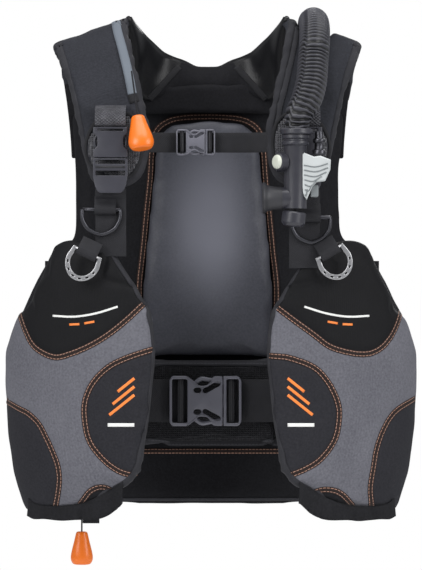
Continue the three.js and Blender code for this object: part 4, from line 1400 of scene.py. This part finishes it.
# ---------------------------------------------------------------- inflator
def inflator():
    """The power inflator: rubber mouthpiece, deflate button, ribbed lever and the dome of its valve."""
    mouth = [(8.6, 12), (9.2, 0.8), (12, 0), (17.6, 0), (18.8, 1.4), (18, 3.2), (16, 4.8), (14.6, 8),
             (13.4, 14), (13.0, 23), (9, 24)]
    rubber = turned("mouthpiece_rubber", mouth, (60.5, -268, 102), (1, 0, 0), SOFT_RUBBER,
                    "inflator", 48)
    stands_for(rubber, "mouthpiece")
    neck = turned("mouthpiece_neck", [(0, -1), (12.6, 0), (12.8, 9), (11, 16), (0, 17)],
                  (82, -268, 102), (1, 0, 0), BLACK_PLASTIC, "inflator", 40)
    tilt = Vector((-0.8, -0.6, 0)).normalized()
    cup = turned("deflate_cup", [(0, -9), (9.6, -8), (10.2, 0.4), (9.4, 1.4), (0, 1.4)],
                 (78.6, -278.6, 144), tilt, BLACK_PLASTIC, "inflator", 36)
    dome = curve_2d([(0, 4.4), (5, 4.2), (7.4, 3.0), (8.4, 1.2), (8.6, -1.5)], 0.8)
    button = turned("deflate_cap", dome, (78.2, -279.2, 144), tilt, CREAM_PLASTIC,
                    home("deflate_button"), 36)
    stands_for(button, "deflate_button")
    front, grooves = -279.3, 7  # the lever's face, and the finger grooves across it
    # each finger groove is drawn as a raised darker grey line; its colour is painted shade, standing in
    # for the shadow inside the groove
    for i in range(grooves):
        t = i / (grooves - 1)
        low, high = 106 + 34 * t, 112 + 30 * t
        end = 112.5 + 24 * min(1, t * 1.4)
        start = 108.6 + 1.5 * (1 - t)
        line = [(start, low), ((start + end) / 2, low - 1.8), (end, high)]
        path = curve_through([Vector((x, front, z)) * MM for x, z in line], 0.8 * MM)
        rib = swept(f"lever_groove_{i + 1}", path, 0.75, 8, GREY_PLASTIC, "inflator")


# ---------------------------------------------------------------- studio
def floor():
    """A round of pale plaster below the vest, which isn't part of it."""
    bm = bmesh.new()
    bmesh.ops.create_circle(bm, cap_ends=True, segments=96, radius=1.6)
    bmesh.ops.translate(bm, vec=(0, 0, -0.62), verts=bm.verts)
    plaster = woven("pale_studio_floor", "f2f2f2", "eeeeee", 4.0, 0.9, 0.0, 0.02)
    show("studio_floor", to_mesh(bm, "studio_floor"), plaster, None)


def softbox(name, place, aim, size, watts):
    """A rectangular lamp turned towards a point; metres and watts."""
    data = bpy.data.lights.new(name, "AREA")
    data.shape = "RECTANGLE"
    data.size, data.size_y = size
    data.energy = watts
    lamp = bpy.data.objects.new(name, data)
    bpy.context.scene.collection.objects.link(lamp)
    lamp.location = place
    lamp.rotation_euler = (Vector(aim) - Vector(place)).to_track_quat("-Z", "Y").to_euler()


def studio():
    """The floor, four soft lamps, and a world that is seen white but lights at less than half."""
    floor()
    softbox("left_softbox", (-1.9, -2.3, 1.3), (0, -0.1, 0), (1.4, 2.0), 55)
    softbox("right_softbox", (2.0, -2.0, 1.0), (0, -0.1, 0), (1.2, 2.0), 45)
    softbox("top_softbox", (0, -0.7, 2.3), (0, -0.1, 0), (2.0, 1.2), 32)
    softbox("back_softbox", (0.6, 2.6, 1.2), (0, 0, 0), (1.6, 1.6), 30)
    world = bpy.data.worlds.new("pale_background")
    world.use_nodes = True
    tree = world.node_tree
    tree.nodes.clear()
    seen = node(tree, "ShaderNodeBackground", {"Color": linear("ffffff"), "Strength": 1.0})
    fill = node(tree, "ShaderNodeBackground", {"Color": linear("f4f6fa"), "Strength": 0.42})
    path = node(tree, "ShaderNodeLightPath")
    both = node(tree, "ShaderNodeMixShader", {},
                {0: path.outputs[0], 1: fill.outputs[0], 2: seen.outputs[0]})
    out = node(tree, "ShaderNodeOutputWorld")
    tree.links.new(both.outputs[0], out.inputs[0])
    bpy.context.scene.world = world


# ---------------------------------------------------------------- small trims
TONGUE_EDGE = [(-85.2, -40), (-86, 0), (-81.6, 42), (-77, 90), (-73.2, 126), (-71, 162),
               (-66, 184), (-54, 195), (-37, 200), (-4, 201.8), (29, 200), (46, 195),
               (58, 184), (63, 162), (65.5, 126), (69.5, 90), (74, 42), (78.5, 0), (78, -40)]


def back_trims(surface):
    """The seam round the tongue and the tapes across the foot of the back."""
    tape = laid_tape("tongue_seam", TONGUE_EDGE, 9, surface, SEAM_TAPE, 1.3, 1.4, 0.5)
    for name, z, wide, finish in (("upper_band_tape", -92.5, 13, QUIET_TAPE),
                                  ("lower_band_tape", -188, 11, QUIET_TAPE),
                                  ("back_foot_seam", -199.5, 7, SEAM_TAPE),
                                  ("back_hem_seam", -257, 4, QUIET_TAPE)):
        reach = 100 if z > -198 else 130
        line = [(x, z) for x in range(-reach, reach - 7, 20)]
        tape = laid_tape(name, line, wide, surface, finish, 0.7, 1.0, crown=0.3)


def pad_trims(side, surface):
    """The mesh window in each shoulder pad, and the reflective stripe on the right one."""
    mesh = laid_patch(side + "_spacer_mesh", MESH_PATCH[side], surface, MESH_CLOTH, 0.7)
    ring = laid_tape(side + "_mesh_binding", MESH_PATCH[side], 4.5, surface, BLACK_BINDING, 0.9, 1.0,
                     closed=True, crown=0.6)
    if side == "right":
        stripe = laid_tape("reflective_stripe", STRIPE_MIDDLE, 11, surface, REFLECTIVE, 1.6, 0.9, 0.2)
        stop = laid_tape("stripe_stop", [(-94.5, 229), (-91.5, 219)], 12, surface, BLACK_BINDING,
                         1.0, 1.2)


HEM_TOP = [(-219, -261), (-212, -267), (-200, -270), (-180, -270), (-160, -268), (-142, -262),
           (-124, -252), (-106, -241)]
HEM_FOOT = [(-221, -277), (-213, -281), (-200, -281), (-180, -283), (-160, -282), (-140, -282),
            (-122, -276), (-106, -262)]


HEM_CELLS = 5


def lobe_hem(side, surface):
    """The elastic hem that gathers the foot of a lobe: a dark band below it in soft folds."""
    turn = 1 if side == "right" else -1
    rows = []
    tops, foots = (curve_through([(x, z, 0) for x, z in line], 3) for line in (HEM_TOP, HEM_FOOT))
    for i, top in enumerate(tops):
        foot = foots[round(i * (len(foots) - 1) / (len(tops) - 1))]
        spot, normal = surface.drawn(top.x * turn, top.y + 7)
        row = []
        for k in range(HEM_CELLS + 1):
            t = k / HEM_CELLS
            fold = (1.6 * math.sin(i * 0.9) + 1.1 * math.sin(i * 2.3 + 1)) * t
            x, z = (top.x + (foot.x - top.x) * t) * turn, top.y + 5 + (foot.y - top.y - 5) * t
            row.append(at_depth(x, z, spot.y / MM - 0.6 + fold + 3 * t))
        rows.append(row)
    band = strip(side + "_lobe_hem", rows, BLACK_CLOTH_EDGE, 1.6)
    if side == "right":
        depth = surface.drawn(-144, -262)[0].y / MM - 3
        rows = [[at_depth(x, z, depth + 0.12 * (z + 268)) for z in (-262, -270, -278, -286)]
                for x in (-154, -149, -144, -139, -134)]
        tab = strip("line_guide_tab", rows, BLACK_CLOTH_EDGE, 2.0)


def lobe_marks(side, surface):
    """Plain printed marks: a thin white arc with two orange dashes, and three slanted bars."""
    turn = -1 if side == "right" else 1
    marks = {
        "white_arc": ([(112, -26), (138, -34), (164, -38), (190, -37)], 2.4, WHITE_PRINT),
        "orange_dash_a": ([(140, -44), (152, -46)], 2.6, ORANGE_PRINT),
        "orange_dash_b": ([(158, -47), (170, -47.5)], 2.6, ORANGE_PRINT),
        "slant_a": ([(92, -112), (112, -128)], 3.4, ORANGE_PRINT),
        "slant_b": ([(92, -122), (118, -143)], 3.4, ORANGE_PRINT),
        "slant_c": ([(92, -132), (122, -156)], 3.4, ORANGE_PRINT),
        "white_bar": ([(92, -168), (124, -168)], 4.2, WHITE_PRINT),
    }
    for name, (line, wide, finish) in marks.items():
        drawn = [(x * turn, z) for x, z in line]
        mark = laid_tape(f"{side}_{name}", drawn, wide, surface, finish, 0.25, 0.3, crown=0.0)


# ---------------------------------------------------------------- making
def make_all():
    """Makes every piece; each soft piece comes before the trims that are laid on it."""
    for name in PULLS:
        dump_pull(name)
    studio()
    hose()
    inflator()
    back = back_cell()
    for side in ("right", "left"):
        surface = lobe(side)
        lobe_marks(side, surface)
        lobe_hem(side, surface)
        surface = shoulder_pad(side)
        pad_trims(side, surface)
    tongue = inner_pad("back_tongue", "back_pad", TONGUE_CLOTH, tuck=-0.8,
                       stretches=((-60, -20, -6), (168, 22, 5)))
    neck = inner_pad("neck_cushion", "neck_pad", PACK_CLOTH, stretches=((222, -18, 7),))
    band = inner_pad("lumbar_cushion", "lumbar_pad", BAND_MESH)
    back_trims(Surface(tongue.data, band.data, back.data))
    collar()
    armhole_gussets()
    side_gussets()
    chest_and_waist_straps()
    shoulder_straps()
    side_release("waist", (14.9, -105, -143.8), 1, 1, 13, "waist_buckle")
    side_release("chest", (-7, -197, 171.6), 0.526, 0.506, 9, "chest_buckle")
    for side, x in SHOULDER_X.items():
        shoulder_buckle(side, x)
        strap_ring, lobe_ring, tilt = RINGS[side]
        wire_ring(side, strap_ring)
        horseshoe(side, lobe_ring, tilt)
        ring_tab(side, lobe_ring, tilt)
    for node_name, finish, slot, bevel in HARD_PIECES:
        dressed(node_name, finish, bevel)


make_all()
